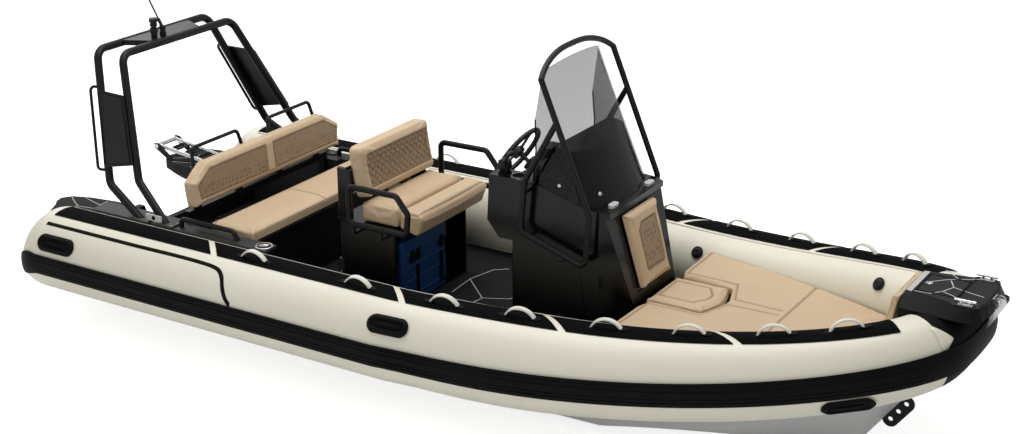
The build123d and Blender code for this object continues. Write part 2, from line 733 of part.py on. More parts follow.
def ladder():
    """Two-rail boarding ladder, folded over the port platform."""
    half = LADDER_WIDTH / 2
    frame = bent_tube([(0, -half, 0), (LADDER_LENGTH, -half, 0), (LADDER_LENGTH, half, 0), (0, half, 0)],
                      LADDER_R, 40)
    for i in range(3):
        x = 2 * LADDER_RUNG + i * (LADDER_LENGTH - 2 * LADDER_RUNG) / 3
        frame += block(x, x + LADDER_RUNG, -half, half, -LADDER_RUNG_T / 2, LADDER_RUNG_T / 2)
    barrel = rod((0, -half - EAR_OUT - EAR_T / 2, 0), (0, half + EAR_OUT + EAR_T / 2, 0), LADDER_BARREL_R)
    return ladder_place() * (frame + barrel)


def ladder_ears():
    """Pair of brackets with the bores the ladder's barrel turns in."""
    place = ladder_place().position
    found = []
    for y in (LADDER_Y - LADDER_WIDTH / 2 - EAR_OUT, LADDER_Y + LADDER_WIDTH / 2 + EAR_OUT):
        feet = [(PLATFORM_AFT_X + x, PLATFORM_Z - 1) for x in reversed(EAR_FOOT)]
        points = [(place.X - EAR_HALF, place.Z + EAR_HALF), (place.X + EAR_HALF, place.Z + EAR_HALF)]
        points += feet + [(place.X - EAR_HALF, place.Z - 12)]
        ear = side_profile(points, y - EAR_T / 2, y + EAR_T / 2)
        ear -= rod((place.X, y - 6, place.Z), (place.X, y + 6, place.Z), LADDER_BARREL_R + 0.05)
        found.append(ear)
    return found[0] + found[1]


def side_decks():
    return solids_of(side_deck(-1), side_deck(1))


def side_deck(side):
    """Deck along the inside of the tube beside the bench, with its wall down to the sole."""
    outer = inner_half(0.0, SIDE_DECK_Z - 14)
    wall_y = BENCH_HALF + 8
    plate = block(SIDE_DECK_AFT_X, SIDE_DECK_FRONT_X, wall_y, outer, SIDE_DECK_Z - 14, SIDE_DECK_Z)
    plate -= Pos(CUP_X, CUP_Y, 0) * Cylinder(CUP_R, 3 * SIDE_DECK_Z)
    reach = inner_half(0.0, TUBE_Z) - SIDE_WALL_IN
    end = BENCH_REAR_X - BENCH_SWING
    wall = block(SIDE_DECK_AFT_X, end, reach, reach + 14, DECK_Z, SIDE_DECK_Z - 14)
    shelf = block(SIDE_DECK_AFT_X, end, reach, wall_y + 20, SIDE_DECK_Z - 14, SIDE_DECK_Z)
    leg = block(end, SIDE_DECK_FRONT_X - 90, wall_y, wall_y + 14, SIDE_DECK_LEG_Z, SIDE_DECK_Z - 14)
    body = plate + shelf + wall + leg
    return body if side > 0 else mirrored(body)


def cup_holder(x, y, z, depth):
    cup = Pos(0, 0, -depth / 2 + 1) * Cylinder(CUP_R - 1, depth + 2)
    flange = Pos(0, 0, 1.7) * Cylinder(CUP_R + 9, 3)
    hollow = Pos(0, 0, 4) * Cylinder(CUP_R - 4, 2 * depth)
    return Pos(x, y, z) * (cup + flange - hollow)


def cup_holders():
    places = [(CUP_X, side * CUP_Y, SIDE_DECK_Z, STERN_CUP_DEPTH) for side in SIDES]
    places += [(DASH_CUP_X, side * DASH_CUP_Y, DASH_Z, CUP_DEPTH) for side in SIDES]
    return solids_of(*[cup_holder(*place) for place in places])


def bench_locker():
    top = BENCH_TOP_Z - BENCH_CUSHION_T - LID_T
    half = inner_half(0.0, TUBE_Z) - 20
    outer = block(BENCH_REAR_X, BENCH_FRONT_X - 25, -half, half, DECK_Z, top)
    inner = block(BENCH_REAR_X + 18, BENCH_FRONT_X - 43, -half + 18, half - 18, DECK_Z + 12, top + 1)
    return outer - inner


def bench_lid():
    z0 = BENCH_TOP_Z - BENCH_CUSHION_T - LID_T
    return block(BENCH_REAR_X, BENCH_FRONT_X - 6, -BENCH_HALF + 6, BENCH_HALF - 6, z0 + 0.3, z0 + LID_T)


def bench_cushion():
    z0 = BENCH_TOP_Z - BENCH_CUSHION_T + 0.3
    return soft_block(BENCH_REAR_X, BENCH_FRONT_X, -BENCH_HALF, BENCH_HALF, z0, BENCH_TOP_Z, 16)


def bench_back():
    """Padded backrest with cut upper corners, leaning a little aft."""
    half = BENCH_HALF
    mid = (BENCH_BACK_LOW_Z + BENCH_BACK_TOP_Z) / 2
    cut_y, cut = BENCH_BACK_CUT
    cut_z = BENCH_BACK_TOP_Z - cut
    flare = half + BENCH_BACK_FLARE
    outline = [(-half, BENCH_BACK_LOW_Z), (half, BENCH_BACK_LOW_Z), (flare, cut_z),
               (half - cut_y, BENCH_BACK_TOP_Z), (-half + cut_y, BENCH_BACK_TOP_Z), (-flare, cut_z)]
    face = make_face(Polyline(*[(0, y, z - mid) for y, z in outline], close=True))
    pad = extrude(face, amount=BENCH_BACK_T, dir=(-1, 0, 0))
    pad = fillet(pad.edges(), 14)
    lean = degrees(atan2(BENCH_BACK_DROP, BENCH_BACK_TOP_Z - BENCH_BACK_LOW_Z))
    return Pos(BENCH_BACK_X, 0, mid) * Rot(0, -lean, 0) * pad


def bench_back_frame():
    """Cross bar, posts and grab rails behind the backrest."""
    x = BENCH_BACK_X - BENCH_BACK_T - 22
    low = BENCH_BACK_LOW_Z - 40
    half = inner_half(0.0, TUBE_Z) - SIDE_WALL_IN - 2
    bar = block(x - 20, x + 20, -half, half, low - 40, low)
    body = bar
    for y in BACK_POSTS:
        body += block(x - 14, x + 14, y - 22, y + 22, low - 1, BENCH_BACK_TOP_Z - 70)
    for side in SIDES:
        foot = block(x - 20, x + 20, half - 38, half, DECK_Z, low - 39)
        body += foot if side > 0 else mirrored(foot)
        rail_z = BENCH_BACK_TOP_Z - 90
        inner, outer = side * (GRAB_Y0 + GRAB_SPLAY), side * (GRAB_Y1 - GRAB_SPLAY)
        rail = bent_tube([(x, side * GRAB_Y0, rail_z), (x - GRAB_BACK, inner, GRAB_TOP_Z),
                          (x - GRAB_BACK, outer, GRAB_TOP_Z), (x, side * GRAB_Y1, rail_z)], GRAB_R, GRAB_BEND)
        body += rail
        for y in (GRAB_Y0, GRAB_Y1):
            body += block(x - 14, x + 14, side * y - 14, side * y + 14, rail_z - 30, rail_z + 10)
    body += block(x - 10, x + 10, -610, 610, BENCH_BACK_TOP_Z - 118, BENCH_BACK_TOP_Z - 84)
    return body


def bench_rails():
    """Low tube rails on the side decks at the ends of the bench."""
    found = []
    z = SIDE_DECK_Z + BENCH_RAIL_RISE
    for side in SIDES:
        y = side * (BENCH_HALF + 62)
        rail = bent_tube([(BENCH_REAR_X - 146, y, SIDE_DECK_Z - 20), (BENCH_REAR_X - 145, y, z),
                          (BENCH_FRONT_X - 90, y, z), (BENCH_FRONT_X - 52, y, SIDE_DECK_Z - 20)],
                         BENCH_RAIL_R, 28)
        rail -= block(BENCH_REAR_X - 300, 0, y - 50, y + 50, SIDE_DECK_Z - 60, SIDE_DECK_Z + 0.3)
        found.append(rail)
    return solids_of(*found)


# ---- stern arch ----

def arch_leg_points(front, side):
    foot, knee, top_x = FRONT_LEG if front else REAR_LEG
    return [(foot[0], side * foot[1], SIDE_DECK_Z - 20), (knee[0], side * knee[1], knee[2]),
            (top_x, side * ARCH_TOP_HALF, ARCH_TOP_Z)]


def arch_frame():
    hoops = []
    for front in (True, False):
        port = arch_leg_points(front, 1)
        starboard = arch_leg_points(front, -1)
        hoops.append(bent_tube(starboard + port[::-1], ARCH_R, ARCH_BEND))
    foot_z = SIDE_DECK_Z + ARCH_FOOT_T + FIT
    below = block(ARCH_REAR_X - 500, 0, -2 * TUBE_Y, 2 * TUBE_Y, 0, foot_z)
    return solids_of(*[hoop - below for hoop in hoops])


def lerp(a, b, share):
    return tuple(p + (q - p) * share for p, q in zip(a, b))


def arch_feet():
    """Plates that carry the arch legs on the side decks."""
    found = []
    for side in SIDES:
        for front in (True, False):
            x, y, _ = arch_leg_points(front, side)[0]
            plate = block(x - FOOT_HALF, x + FOOT_HALF, y - 40, y + 34,
                          SIDE_DECK_Z + 0.2, SIDE_DECK_Z + ARCH_FOOT_T)
            found.append(plate)
    return solids_of(*found)


def arch_top_plate():
    """Tapered plate between the hoops, with a lip turned down at each end."""
    reach = sqrt(ARCH_R ** 2 - (PLATE_Z - ARCH_TOP_Z) ** 2) + FIT
    rows = [(ARCH_REAR_X + reach, PLATE_AFT_HALF), (ARCH_FRONT_X - reach, PLATE_FRONT_HALF)]
    plate = top_profile([(x, -y) for x, y in rows] + rows[::-1], PLATE_Z, PLATE_Z + PLATE_T)
    inset = PLATE_LIP_GAP / (rows[1][0] - rows[0][0])
    ends = [lerp(*rows, inset), lerp(*rows, 1 - inset)]
    lip = ends + [(x, y - PLATE_T) for x, y in ends[::-1]]
    for side in SIDES:
        plate += top_profile([(x, side * y) for x, y in lip], PLATE_Z - PLATE_LIP, PLATE_Z + 1)
    return plate


def turned(rows, x, y, z):
    """Stack of round steps: radius and height of each, from the foot up."""
    body = None
    for radius, height in rows:
        disc = Pos(x, y, z + height / 2) * Cylinder(radius, height)
        body = disc if body is None else body + disc
        z += height
    return body


def arch_light():
    """All-round light on a short turned post."""
    return turned(LIGHT_ROWS, LIGHT_X, LIGHT_Y, PLATE_Z + PLATE_T + FIT)


def antenna():
    """Whip on a ratchet foot, raked aft."""
    z = PLATE_Z + PLATE_T + FIT
    foot = turned(ANTENNA_ROWS, ANTENNA_X, ANTENNA_Y, z)
    top = z + sum(height for _, height in ANTENNA_ROWS)
    a = radians(ANTENNA_RAKE)
    along = Vector(-sin(a), 0, cos(a))
    start = Vector(ANTENNA_X, ANTENNA_Y, top - 14)
    ferrule = rod(tuple(start), tuple(start + along * 60), 10)
    whip = rod(tuple(start + along * 50), tuple(start + along * ANTENNA_LENGTH), 5)
    return foot + ferrule + whip


def arch_side_panels():
    """Cloth-covered panels between the legs of each side."""
    found = []
    for side in SIDES:
        corners = []
        for front, share in SIDE_PANEL_SHARES:
            top = arch_leg_points(front, side)[2]
            knee = arch_leg_points(front, side)[1]
            corners.append(Vector(*lerp(top, knee, share)))
        a, b, c, d = corners
        normal = (b - a).cross(d - a).normalized()
        if normal.Y * side < 0:
            normal = normal * -1
        lift = normal * (ARCH_R + SIDE_PANEL_OUT)
        inset = [p + lift for p in (a, b, c, d)]
        face = make_face(Polyline(*[tuple(p) for p in inset[:3]], tuple(flat(inset)), close=True))
        found.append(extrude(face, amount=SIDE_PANEL_T, dir=tuple(normal)))
    return solids_of(*found)


def flat(points):
    """The fourth corner, moved into the plane of the first three."""
    a, b, c, d = points
    normal = (b - a).cross(c - a).normalized()
    return d - normal * normal.dot(d - a)


def arch_grab_bars():
    """Thin D-shaped bars behind the rear legs."""
    found = []
    for side in SIDES:
        top, knee = arch_leg_points(False, side)[2], arch_leg_points(False, side)[1]
        a, b = [Vector(*lerp(top, knee, share)) for share in BAR_SHARES]
        off = Vector(-BAR_OUT, side * 12, 0)
        skin = Vector(-ARCH_R - 4, side * 6, 0)
        found.append(bent_tube([tuple(a + skin), tuple(a + off), tuple(b + off), tuple(b + skin)], BAR_R, 25))
    return solids_of(*found)


# ---- helm seat ----

def helm_pod():
    outer = block(POD_REAR_X, POD_FRONT_X, -POD_HALF, POD_HALF, DECK_Z, POD_TOP_Z)
    outer = fillet(outer.edges().filter_by(Axis.Z), 30)
    bay = block(POD_REAR_X + POD_WALL, POD_FRONT_X + 1, -POD_HALF + POD_WALL, POD_HALF - POD_WALL,
                DECK_Z + 10, POD_TOP_Z - 30)
    body = outer - bay
    for side in SIDES:
        post = block(POD_REAR_X + HELM_POST[0], POD_REAR_X + HELM_POST[1], HELM_CUSHION_HALF + 4, POD_HALF,
                     POD_TOP_Z - 5, HELM_POST_Z)
        post = fillet(post.edges().filter_by(Axis.Z), 9)
        body += post if side > 0 else mirrored(post)
    return body + helm_back_plate()


def helm_armrests():
    found = []
    for side in SIDES:
        y = side * ARM_Y
        path = FilletPolyline(*[(x, y, z) for x, z in ARM_LOOP], radius=ARM_BEND, close=True)
        start = Plane(origin=path @ 0, z_dir=path % 0)
        body = sweep(start * Circle(ARM_R), path=path)
        for x in (POD_REAR_X + 178, POD_FRONT_X - 40):
            foot_y = POD_HALF + 0.3
            low = POD_TOP_Z - ARM_FOOT_DROP
            arm = block(x - 18, x + 18, foot_y, ARM_Y, low, low + 16)
            riser = block(x - 18, x + 18, ARM_Y - 8, ARM_Y + 8, low, ARM_LOOP[0][1])
            bracket = arm + riser
            body += bracket if side > 0 else mirrored(bracket)
        found.append(body)
    return solids_of(*found)


def helm_back():
    half = HELM_CUSHION_HALF
    pad = Box(HELM_BACK_T, 2 * half, HELM_BACK_HEIGHT)
    pad = fillet(pad.edges().filter_by(Axis.X), 45)
    pad = fillet(pad.edges(), 16)
    return helm_back_place() * Pos(-HELM_BACK_T / 2, 0, 0) * pad


def helm_back_place():
    """Middle of the backrest's front face, leaning aft."""
    mid_z = HELM_CUSHION_TOP_Z + HELM_BACK_HEIGHT / 2 + HELM_BACK_GAP
    return Pos(HELM_BACK_X, 0, mid_z) * Rot(0, -HELM_LEAN, 0)


def helm_back_plate():
    """Plate between the pod's posts that carries the helm backrest."""
    place = helm_back_place() * Pos(-HELM_BACK_T - 7, 0, -30)
    return place * Box(12, 2 * POD_HALF - 20, 150)


def helm_cushion():
    return soft_block(POD_REAR_X + 150, BOLSTER_GAP_X - 4, -HELM_CUSHION_HALF, HELM_CUSHION_HALF,
                      POD_TOP_Z + 0.3, HELM_CUSHION_TOP_Z, 18)


def helm_bolster():
    half = HELM_CUSHION_HALF
    points = [(BOLSTER_GAP_X + 5, BOLSTER_LOW_Z + 30), (BOLSTER_FRONT_X - 40, BOLSTER_LOW_Z),
              (BOLSTER_FRONT_X, HELM_CUSHION_TOP_Z - 30), (BOLSTER_FRONT_X - 20, HELM_CUSHION_TOP_Z - 8),
              (BOLSTER_GAP_X + 5, HELM_CUSHION_TOP_Z)]
    pad = side_profile(points, -half, half)
    return fillet(pad.edges().filter_by(Axis.Y), 8)


def cool_box():
    body = block(COOL_X0, COOL_X1, COOL_Y0, COOL_Y1, DECK_Z + 10.5, DECK_Z + COOL_HEIGHT - 70)
    lid = block(COOL_X0 - 4, COOL_X1 + 6, COOL_Y0 - 4, COOL_Y1 + 4,
                DECK_Z + COOL_HEIGHT - 70, DECK_Z + COOL_HEIGHT)
    body = fillet(body.edges().filter_by(Axis.Z), 25)
    lid = fillet(lid.edges().filter_by(Axis.Z), 25)
    return body + lid


# ---- console ----

def console_plan(margin):
    aft = DASH_AFT_X - DASH_BULGE - 1 + margin
    half = CONSOLE_HALF - margin
    nose_half = CONSOLE_NOSE_HALF - margin
    front = CONSOLE_FACE_LOW_X + 8 - margin
    return [(aft, -half), (CONSOLE_BEND_X, -half), (front, -nose_half),
            (front, nose_half), (CONSOLE_BEND_X, half), (aft, half)]


def shelf_line(lift):
    """Top of the console below the screen, aft to front, x and z."""
    return [(COWL_AFT[0][0] + 4, DASH_Z + lift), (SCREEN_LOW[0] + 10, SHELF_Z + 14 + lift),
            (CONSOLE_SHELF_X, SHELF_Z + lift)]


def console_profile(margin):
    """Side outline of the console, front face leaning aft under a lip."""
    low = DECK_Z + margin
    m = margin
    aft = DASH_AFT_X + m
    top = [(aft, DASH_Z - m)] + shelf_line(-m)
    top[-1] = (CONSOLE_SHELF_X - m, SHELF_Z - m)
    return [(CONSOLE_AFT_X + m, low), (CONSOLE_AFT_X + m, DASH_LOW_Z + m), (aft + 60, DASH_LOW_Z + m),
            (aft - DASH_BULGE, DASH_LOW_Z + 90 + m)] + top + [
            (CONSOLE_SHELF_X - m, SHELF_Z - LIP_T + m / 2),
            (CONSOLE_FACE_TOP_X - m, SHELF_Z - LIP_T - 2), (CONSOLE_FACE_LOW_X - m, CONSOLE_FACE_LOW_Z),
            (CONSOLE_FACE_LOW_X - m, low)]


def console_solid(margin):
    body = side_profile(console_profile(margin), -CONSOLE_HALF, CONSOLE_HALF)
    plan = top_profile(console_plan(margin), 0, 2 * DASH_Z)
    return body & plan


def screen_outline(z, inset):
    """Plan of the screen's outside at a height, closed far aft."""
    share = (z - SCREEN_LOW[3]) / (SCREEN_HIGH[3] - SCREEN_LOW[3])
    corner_x, corner_y, bulge = [a + (b - a) * share for a, b in zip(SCREEN_LOW[:3], SCREEN_HIGH[:3])]
    corner_y -= inset
    half = [(corner_x - inset + bulge * sqrt(1 - part * part), corner_y * part) for part in SCREEN_SHARES]
    port = [(0.0, corner_y)] + half
    return port + [(corner_x - inset + bulge, 0.0)] + [(x, -y) for x, y in reversed(port)]


def screen_body(inset, z0, z1):
    """Solid inside the screen's skin between two heights."""
    faces = []
    for z in (z0, z1):
        faces.append(make_face(Polyline(*[(x, y, z) for x, y in screen_outline(z, inset)], close=True)))
    return loft(faces, ruled=True)


def cowl():
    """Instrument cowl that fills the foot of the screen, its top sloping to the bow."""
    body = screen_body(COWL_GAP, SHELF_Z - 6, COWL_TOP[0][1] + 20)
    (aft_x, aft_z), (top_x, top_z) = COWL_AFT
    slope = (COWL_TOP[1][1] - COWL_TOP[0][1]) / (COWL_TOP[1][0] - COWL_TOP[0][0])
    lean = (top_x - aft_x) / (top_z - aft_z)
    low = SHELF_Z - 10
    front_z = top_z + slope * (CONSOLE_SHELF_X - top_x)
    keep = [(aft_x - lean * (aft_z - low), low), (top_x, top_z), (CONSOLE_SHELF_X, front_z),
            (CONSOLE_SHELF_X, low)]
    return body & side_profile(keep, -TUBE_Y, TUBE_Y)


def console():
    body = console_solid(0.0)
    body -= block(DASH_AFT_X - DASH_BULGE - 1, DASH_AFT_X + DASH_RECESS, -DASH_RECESS_HALF, DASH_RECESS_HALF,
                  DASH_LOW_Z - 1, DASH_Z + 1)
    corners = [edge for edge in body.edges().filter_by(Axis.Z) if edge.length > 3 * LIP_T]
    body = fillet(corners, 12)
    body += cowl()
    below = block(CONSOLE_AFT_X + 20, 2 * CONSOLE_SHELF_X, -TUBE_Y, TUBE_Y, 0, SHELF_Z - 60)
    body -= console_solid(CONSOLE_WALL) & below
    body -= door_shape(DOOR_GAP, -3 * CONSOLE_WALL, 20)
    for side in SIDES:
        body -= Pos(DASH_CUP_X, side * DASH_CUP_Y, DASH_Z) * Cylinder(CUP_R, 2 * CUP_DEPTH)
        body -= light_plane(side) * extrude(SlotOverall(LIGHT_LENGTH, LIGHT_WIDTH), amount=20)
    return max(body.solids(), key=lambda s: s.volume)


def light_plane(side):
    place = (CONSOLE_SHELF_X - 36, side * LIGHT_HALF, SHELF_Z + 4)
    return Plane(origin=place, x_dir=(0, 1, 0), z_dir=(0.09, 0, 0.996))


def door_frame():
    """Plane of the console's front face at the door's middle: X to port, Y up the face, Z out of it."""
    top = Vector(CONSOLE_FACE_TOP_X, 0, SHELF_Z - LIP_T - 2)
    low = Vector(CONSOLE_FACE_LOW_X, 0, CONSOLE_FACE_LOW_Z)
    along = (top - low).normalized()
    mid_z = (DOOR_LOW_Z + DOOR_TOP_Z) / 2
    mid = low + along * ((mid_z - low.Z) / along.Z)
    return Plane(origin=mid, x_dir=(0, 1, 0), z_dir=Vector(0, 1, 0).cross(along)), along.Z


def door_shape(grow, z0, z1):
    """Tapered door outline, grown by a margin, from depth z0 to z1 along the face's normal."""
    plane, slope = door_frame()
    up = (DOOR_TOP_Z - DOOR_LOW_Z) / slope / 2 + grow
    top = DOOR_TOP_HALF + grow
    low = DOOR_LOW_HALF + grow
    face = make_face(Polyline((-low, -up, z0), (low, -up, z0), (top, up, z0), (-top, up, z0), close=True))
    return plane * extrude(face, amount=z1 - z0, dir=(0, 0, 1))


def console_door():
    return door_shape(0.0, -DOOR_T, 0.0)


def console_cushion():
    pad = door_shape(0.0, 0.3, DOOR_PAD_T)
    return fillet(pad.edges(), 14)


def console_rails():
    """Windscreen hoop and side loops in one tube, with stubs to the console."""
    foot = HOOP_LOOP[-1]
    shoulder = (HOOP_SHOULDER[0], HOOP_SHOULDER[2])
    knee = HOOP_LOOP[0]
    joint = lerp(foot, shoulder, (HOOP_JOINT_Z - foot[1]) / (shoulder[1] - foot[1]))
    run = hypot(joint[0] - knee[0], joint[1] - knee[1])
    end = lerp(knee, joint, 1 - 2.8 * HOOP_R / run)
    back = lerp(knee, joint, 1 - 3.6 * HOOP_R / run)
    port = list(HOOP_CROWN)
    starboard = [(x, -y, z) for x, y, z in port]
    crown_points = [(x, -y, z) for x, y, z in [HOOP_SHOULDER]] + starboard + [HOOP_TOP]
    crown_points += port[::-1] + [HOOP_SHOULDER]
    crown = Spline(*crown_points)
    start = Plane(origin=crown @ 0, z_dir=crown % 0)
    body = sweep(start * Circle(HOOP_R), path=crown)
    for y in (-HOOP_HALF, HOOP_HALF):
        path = [(x, y, z) for x, z in (end,) + HOOP_LOOP + (shoulder,)]
        body += bent_tube(path, HOOP_R, 38)
        body += Pos(shoulder[0], y, shoulder[1]) * Sphere(HOOP_R + 0.4)
        body += rod((back[0], y, back[1]), (joint[0], y, joint[1]), HOOP_R - 1)
        inner = y - (HOOP_HALF - CONSOLE_HALF - 1) * (1 if y > 0 else -1)
        for x, z in HOOP_STUBS:
            body += rod((x, inner, z), (x, y, z), HOOP_STUB_R)
    return body


def windscreen():
    """Smoked screen: a curved front pane and a wing on each side, leaning aft inside the hoop."""
    low = SHELF_Z - 6
    high = SCREEN_CREST[1] + 60
    shell = screen_body(0.0, low, high) - screen_body(SCREEN_T, low - 1, high + 1)
    lean = (SCREEN_CREST[0] - SCREEN_HIGH[0]) / (SCREEN_CREST[1] - SCREEN_HIGH[3])
    crest = [(SCREEN_HIGH[0] + lean * (z - SCREEN_HIGH[3]), z) for z in (SCREEN_HIGH[3] - 20, high + 9)]
    keep = [(x, z) for x, z in reversed(SCREEN_WING)] + [(SCREEN_HIGH[0] - 1, SCREEN_HIGH[3])]
    keep += [crest[1]] + [(CONSOLE_SHELF_X + 9, high + 9)] + shelf_line(1.0)[::-1][:2]
    return shell & side_profile(keep, -TUBE_Y, TUBE_Y)


def dash_panel():
    x = DASH_AFT_X + DASH_RECESS
    plate = block(x - 12, x - 0.3, -DASH_RECESS_HALF + 12, DASH_RECESS_HALF - 12, 880, DASH_Z - 20)
    return plate + wheel_boss()


def steering_wheel():
    plane = wheel_plane()
    body = Torus(WHEEL_R, WHEEL_RIM_R)
    for i in range(3):
        spoke = Rot(0, 0, 90 + 120 * i) * Pos(WHEEL_R / 2, 0, 0) * Box(WHEEL_R - 4, 26, 8)
        body += spoke
    body += Cylinder(WHEEL_HUB_R, 26)
    body += Pos(0, 0, -WHEEL_SHAFT / 2) * Cylinder(SHAFT_R, WHEEL_SHAFT)
    return plane * body


def wheel_plane():
    a = radians(WHEEL_TILT)
    return Plane(origin=(WHEEL_X, 0, WHEEL_Z), x_dir=(0, -1, 0), z_dir=(-cos(a), 0, sin(a)))


def wheel_boss():
    """Helm boss on the dash that carries the steering shaft."""
    plane = wheel_plane()
    boss = Pos(0, 0, -WHEEL_SHAFT - 2) * Cylinder(44, 60)
    hole = Pos(0, 0, -WHEEL_SHAFT + 20) * Cylinder(SHAFT_R + 0.05, 48)
    return plane * (boss - hole)


def throttle():
    x = DASH_AFT_X + 38
    y = -(DASH_RECESS_HALF + 62)
    base = block(x - 32, x + 32, y + 20, y + 58, DASH_Z + 0.3, DASH_Z + 62)
    base = fillet(base.edges().filter_by(Axis.Y), 18)
    knob = (x + THROTTLE_LEAN, DASH_Z + THROTTLE_RISE)
    lever = rod((x, y + 15, DASH_Z + 40), (knob[0], y + 12, knob[1]), 9)
    grip = rod((knob[0], y + 35, knob[1]), (knob[0], y - 25, knob[1]), 14)
    hub = rod((x, y + 25, DASH_Z + 40), (x, y + 5, DASH_Z + 40), 20)
    return base + hub + lever + grip


def deck_lights():
    found = []
    for side in SIDES:
        lamp = extrude(SlotOverall(LIGHT_LENGTH - 1, LIGHT_WIDTH - 1), amount=16)
        found.append(light_plane(side) * Pos(0, 0, 0.3) * lamp)
    return solids_of(*found)


# ---- bow ----

def bow_locker():
    rows = [(x, y) for x, y in cockpit_outline(3.0) if x > PAD_AFT_X]
    half = inner_half(PAD_AFT_X, TUBE_Z) - TUBE_CLEAR
    outline = [(PAD_AFT_X, half)] + [(x, y) for x, y in rows if y > 0]
    outline += [(x, -y) for x, y in reversed(outline)]
    top = PAD_TOP_Z - PAD_T
    box = top_profile(outline, DECK_Z, top)
    wall = BOW_LOCKER_WALL
    inner = [(PAD_AFT_X + wall, outline[1][1] - wall)]
    inner += [(x - wall, y - wall) for x, y in outline[2:len(outline) // 2]]
    box -= top_profile(both_halves(inner), DECK_Z + DECK_T, top - wall)
    hatch = block(PAD_AFT_X + 60, HATCH_FRONT_X - 60, -HATCH_HALF + 35, HATCH_HALF - 35, top - 30, top + 1)
    return box - hatch


def pad_outline():
    """Reach of the bow cushions before the tubes are taken out of them, port half, aft to bow."""
    rows = []
    for share in (PAD_AFT_X / BOW_X, 0.5, 0.6, 0.7, 0.8, 0.87):
        x = share * BOW_X
        rows.append((x, inner_half(x, PAD_TOP_Z) + 2 * TUBE_CLEAR))
    return rows


def bow_pads():
    """Surround cushion and front cushion, round the lifting centre cushion."""
    z0 = PAD_TOP_Z - PAD_T + 0.3
    slab = top_profile(both_halves(pad_outline()), z0, PAD_TOP_Z)
    for side in SIDES:
        slab -= tube_solid(side, PAD_CLEAR)
    centre = top_profile(centre_outline(PAD_SEAM), z0 - 1, PAD_TOP_Z + 1)
    slab -= centre
    split = block(PAD_JOINT_X - PAD_SEAM / 2, PAD_JOINT_X + PAD_SEAM / 2, -900, 900, z0 - 1, PAD_TOP_Z + 1)
    slab -= split
    for side in SIDES:
        corner = [(PAD_AFT_X - 1, side * (HATCH_HALF - 2)), (PAD_AFT_X - 1, side * (HATCH_HALF + 90)),
                  (PAD_AFT_X + 40, side * (HATCH_HALF - 2))]
        wedge = top_profile(corner, z0 - 1, PAD_TOP_Z + 1)
        slab -= wedge
    kept = sorted(slab.solids(), key=lambda s: s.volume)[-2:]
    return solids_of(*kept)


def centre_outline(grow):
    half = HATCH_HALF + grow
    front = HATCH_FRONT_X
    return [(PAD_AFT_X - 1, -half), (front - 45 + grow / 2, -half), (front + grow, -30),
            (front + grow, 30), (front - 45 + grow / 2, half), (PAD_AFT_X - 1, half)]


def hatch_board():
    z0 = PAD_TOP_Z - PAD_T + 0.3
    points = centre_outline(-4.0)
    return top_profile([(max(x, PAD_AFT_X + 4), y) for x, y in points], z0, z0 + LID_T - 0.3)


def hatch_cushion():
    z0 = PAD_TOP_Z - PAD_T + LID_T + 0.3
    pad = top_profile(centre_outline(0.0), z0, PAD_TOP_Z)
    return fillet(pad.edges().group_by(Axis.Z)[-1], 8)


def bow_back():
    """Narrow cushion on the aft face of the bow step, leaning towards the bow."""
    pad = Box(BOW_BACK_T, 2 * BOW_BACK_HALF, BOW_BACK_HEIGHT)
    pad = fillet(pad.edges(), 10)
    place = Pos(STEP_AFT_X - 8, 0, STEP_TOP_Z - 20) * Rot(0, BOW_BACK_LEAN, 0)
    return place * Pos(-BOW_BACK_T / 2, 0, -BOW_BACK_HEIGHT / 2) * pad


def both_halves(rows):
    return list(rows) + [(x, -y) for x, y in reversed(rows)]


def lid_outline(grow):
    aft = STEP_AFT_X + LID_AFT_EDGE - grow
    front = LID_FRONT_X + grow
    half = LID_HALF + grow
    return [(aft, -half), (front, -half), (front, half), (aft, half)]


def step_block():
    """The step's upper part, tapering to its top."""
    return loft([level_face(both_halves(STEP_LOW), STEP_BLOCK_Z),
                 level_face(both_halves(STEP_TOP), STEP_TOP_Z)], ruled=True)


def bow_step():
    """Anchor locker over the nose with a lid set into its top, its skirt between the tubes."""
    body = step_block()
    body += block(STEP_AFT_X, STEP_SKIRT_FRONT_X, -STEP_SKIRT_HALF, STEP_SKIRT_HALF,
                  STEP_LOW_Z, STEP_BLOCK_Z + 1)
    body -= top_profile(lid_outline(-LOCKER_WALL), STEP_LOW_Z + LOCKER_FLOOR, STEP_TOP_Z + 1)
    body -= top_profile(lid_outline(LID_GAP), STEP_TOP_Z - LID_T, STEP_TOP_Z + 1)
    for side in SIDES:
        body -= tube_solid(side, FIT)
    body -= nose_solid(FIT) + nose_band(STRAKE_T + FIT)
    body -= hull_envelope()
    return max(body.solids(), key=lambda s: s.volume)


def hull_envelope():
    return loft([section_face(half) for half in hull_sections()[-2:]], ruled=True)


def anchor_lid():
    z0 = STEP_TOP_Z - LID_T
    return top_profile(lid_outline(0.0), z0 + 0.3, STEP_TOP_Z)


def bow_roller():
    """Roller between two cheek plates that reach down the front of the nose."""
    z = CHEEK[0][1] - ROLLER_DROP
    body = rod((ROLLER_X, -CHEEK_Y, z), (ROLLER_X, CHEEK_Y, z), ROLLER_PIN_R)
    body += rod((ROLLER_X, ROLLER_SIDE - CHEEK_Y, z), (ROLLER_X, CHEEK_Y - ROLLER_SIDE, z), ROLLER_R)
    for side in SIDES:
        y = side * CHEEK_Y
        body += side_profile(CHEEK, y - CHEEK_T / 2, y + CHEEK_T / 2)
    x = CHEEK[0][0]
    body += block(x, x + CHEEK_T, -CHEEK_Y, CHEEK_Y, STEP_TOP_Z - ROLLER_WEB, STEP_TOP_Z)
    body -= step_block()
    body -= nose_solid(FIT) + nose_band(STRAKE_T + FIT)
    return max(body.solids(), key=lambda s: s.volume)


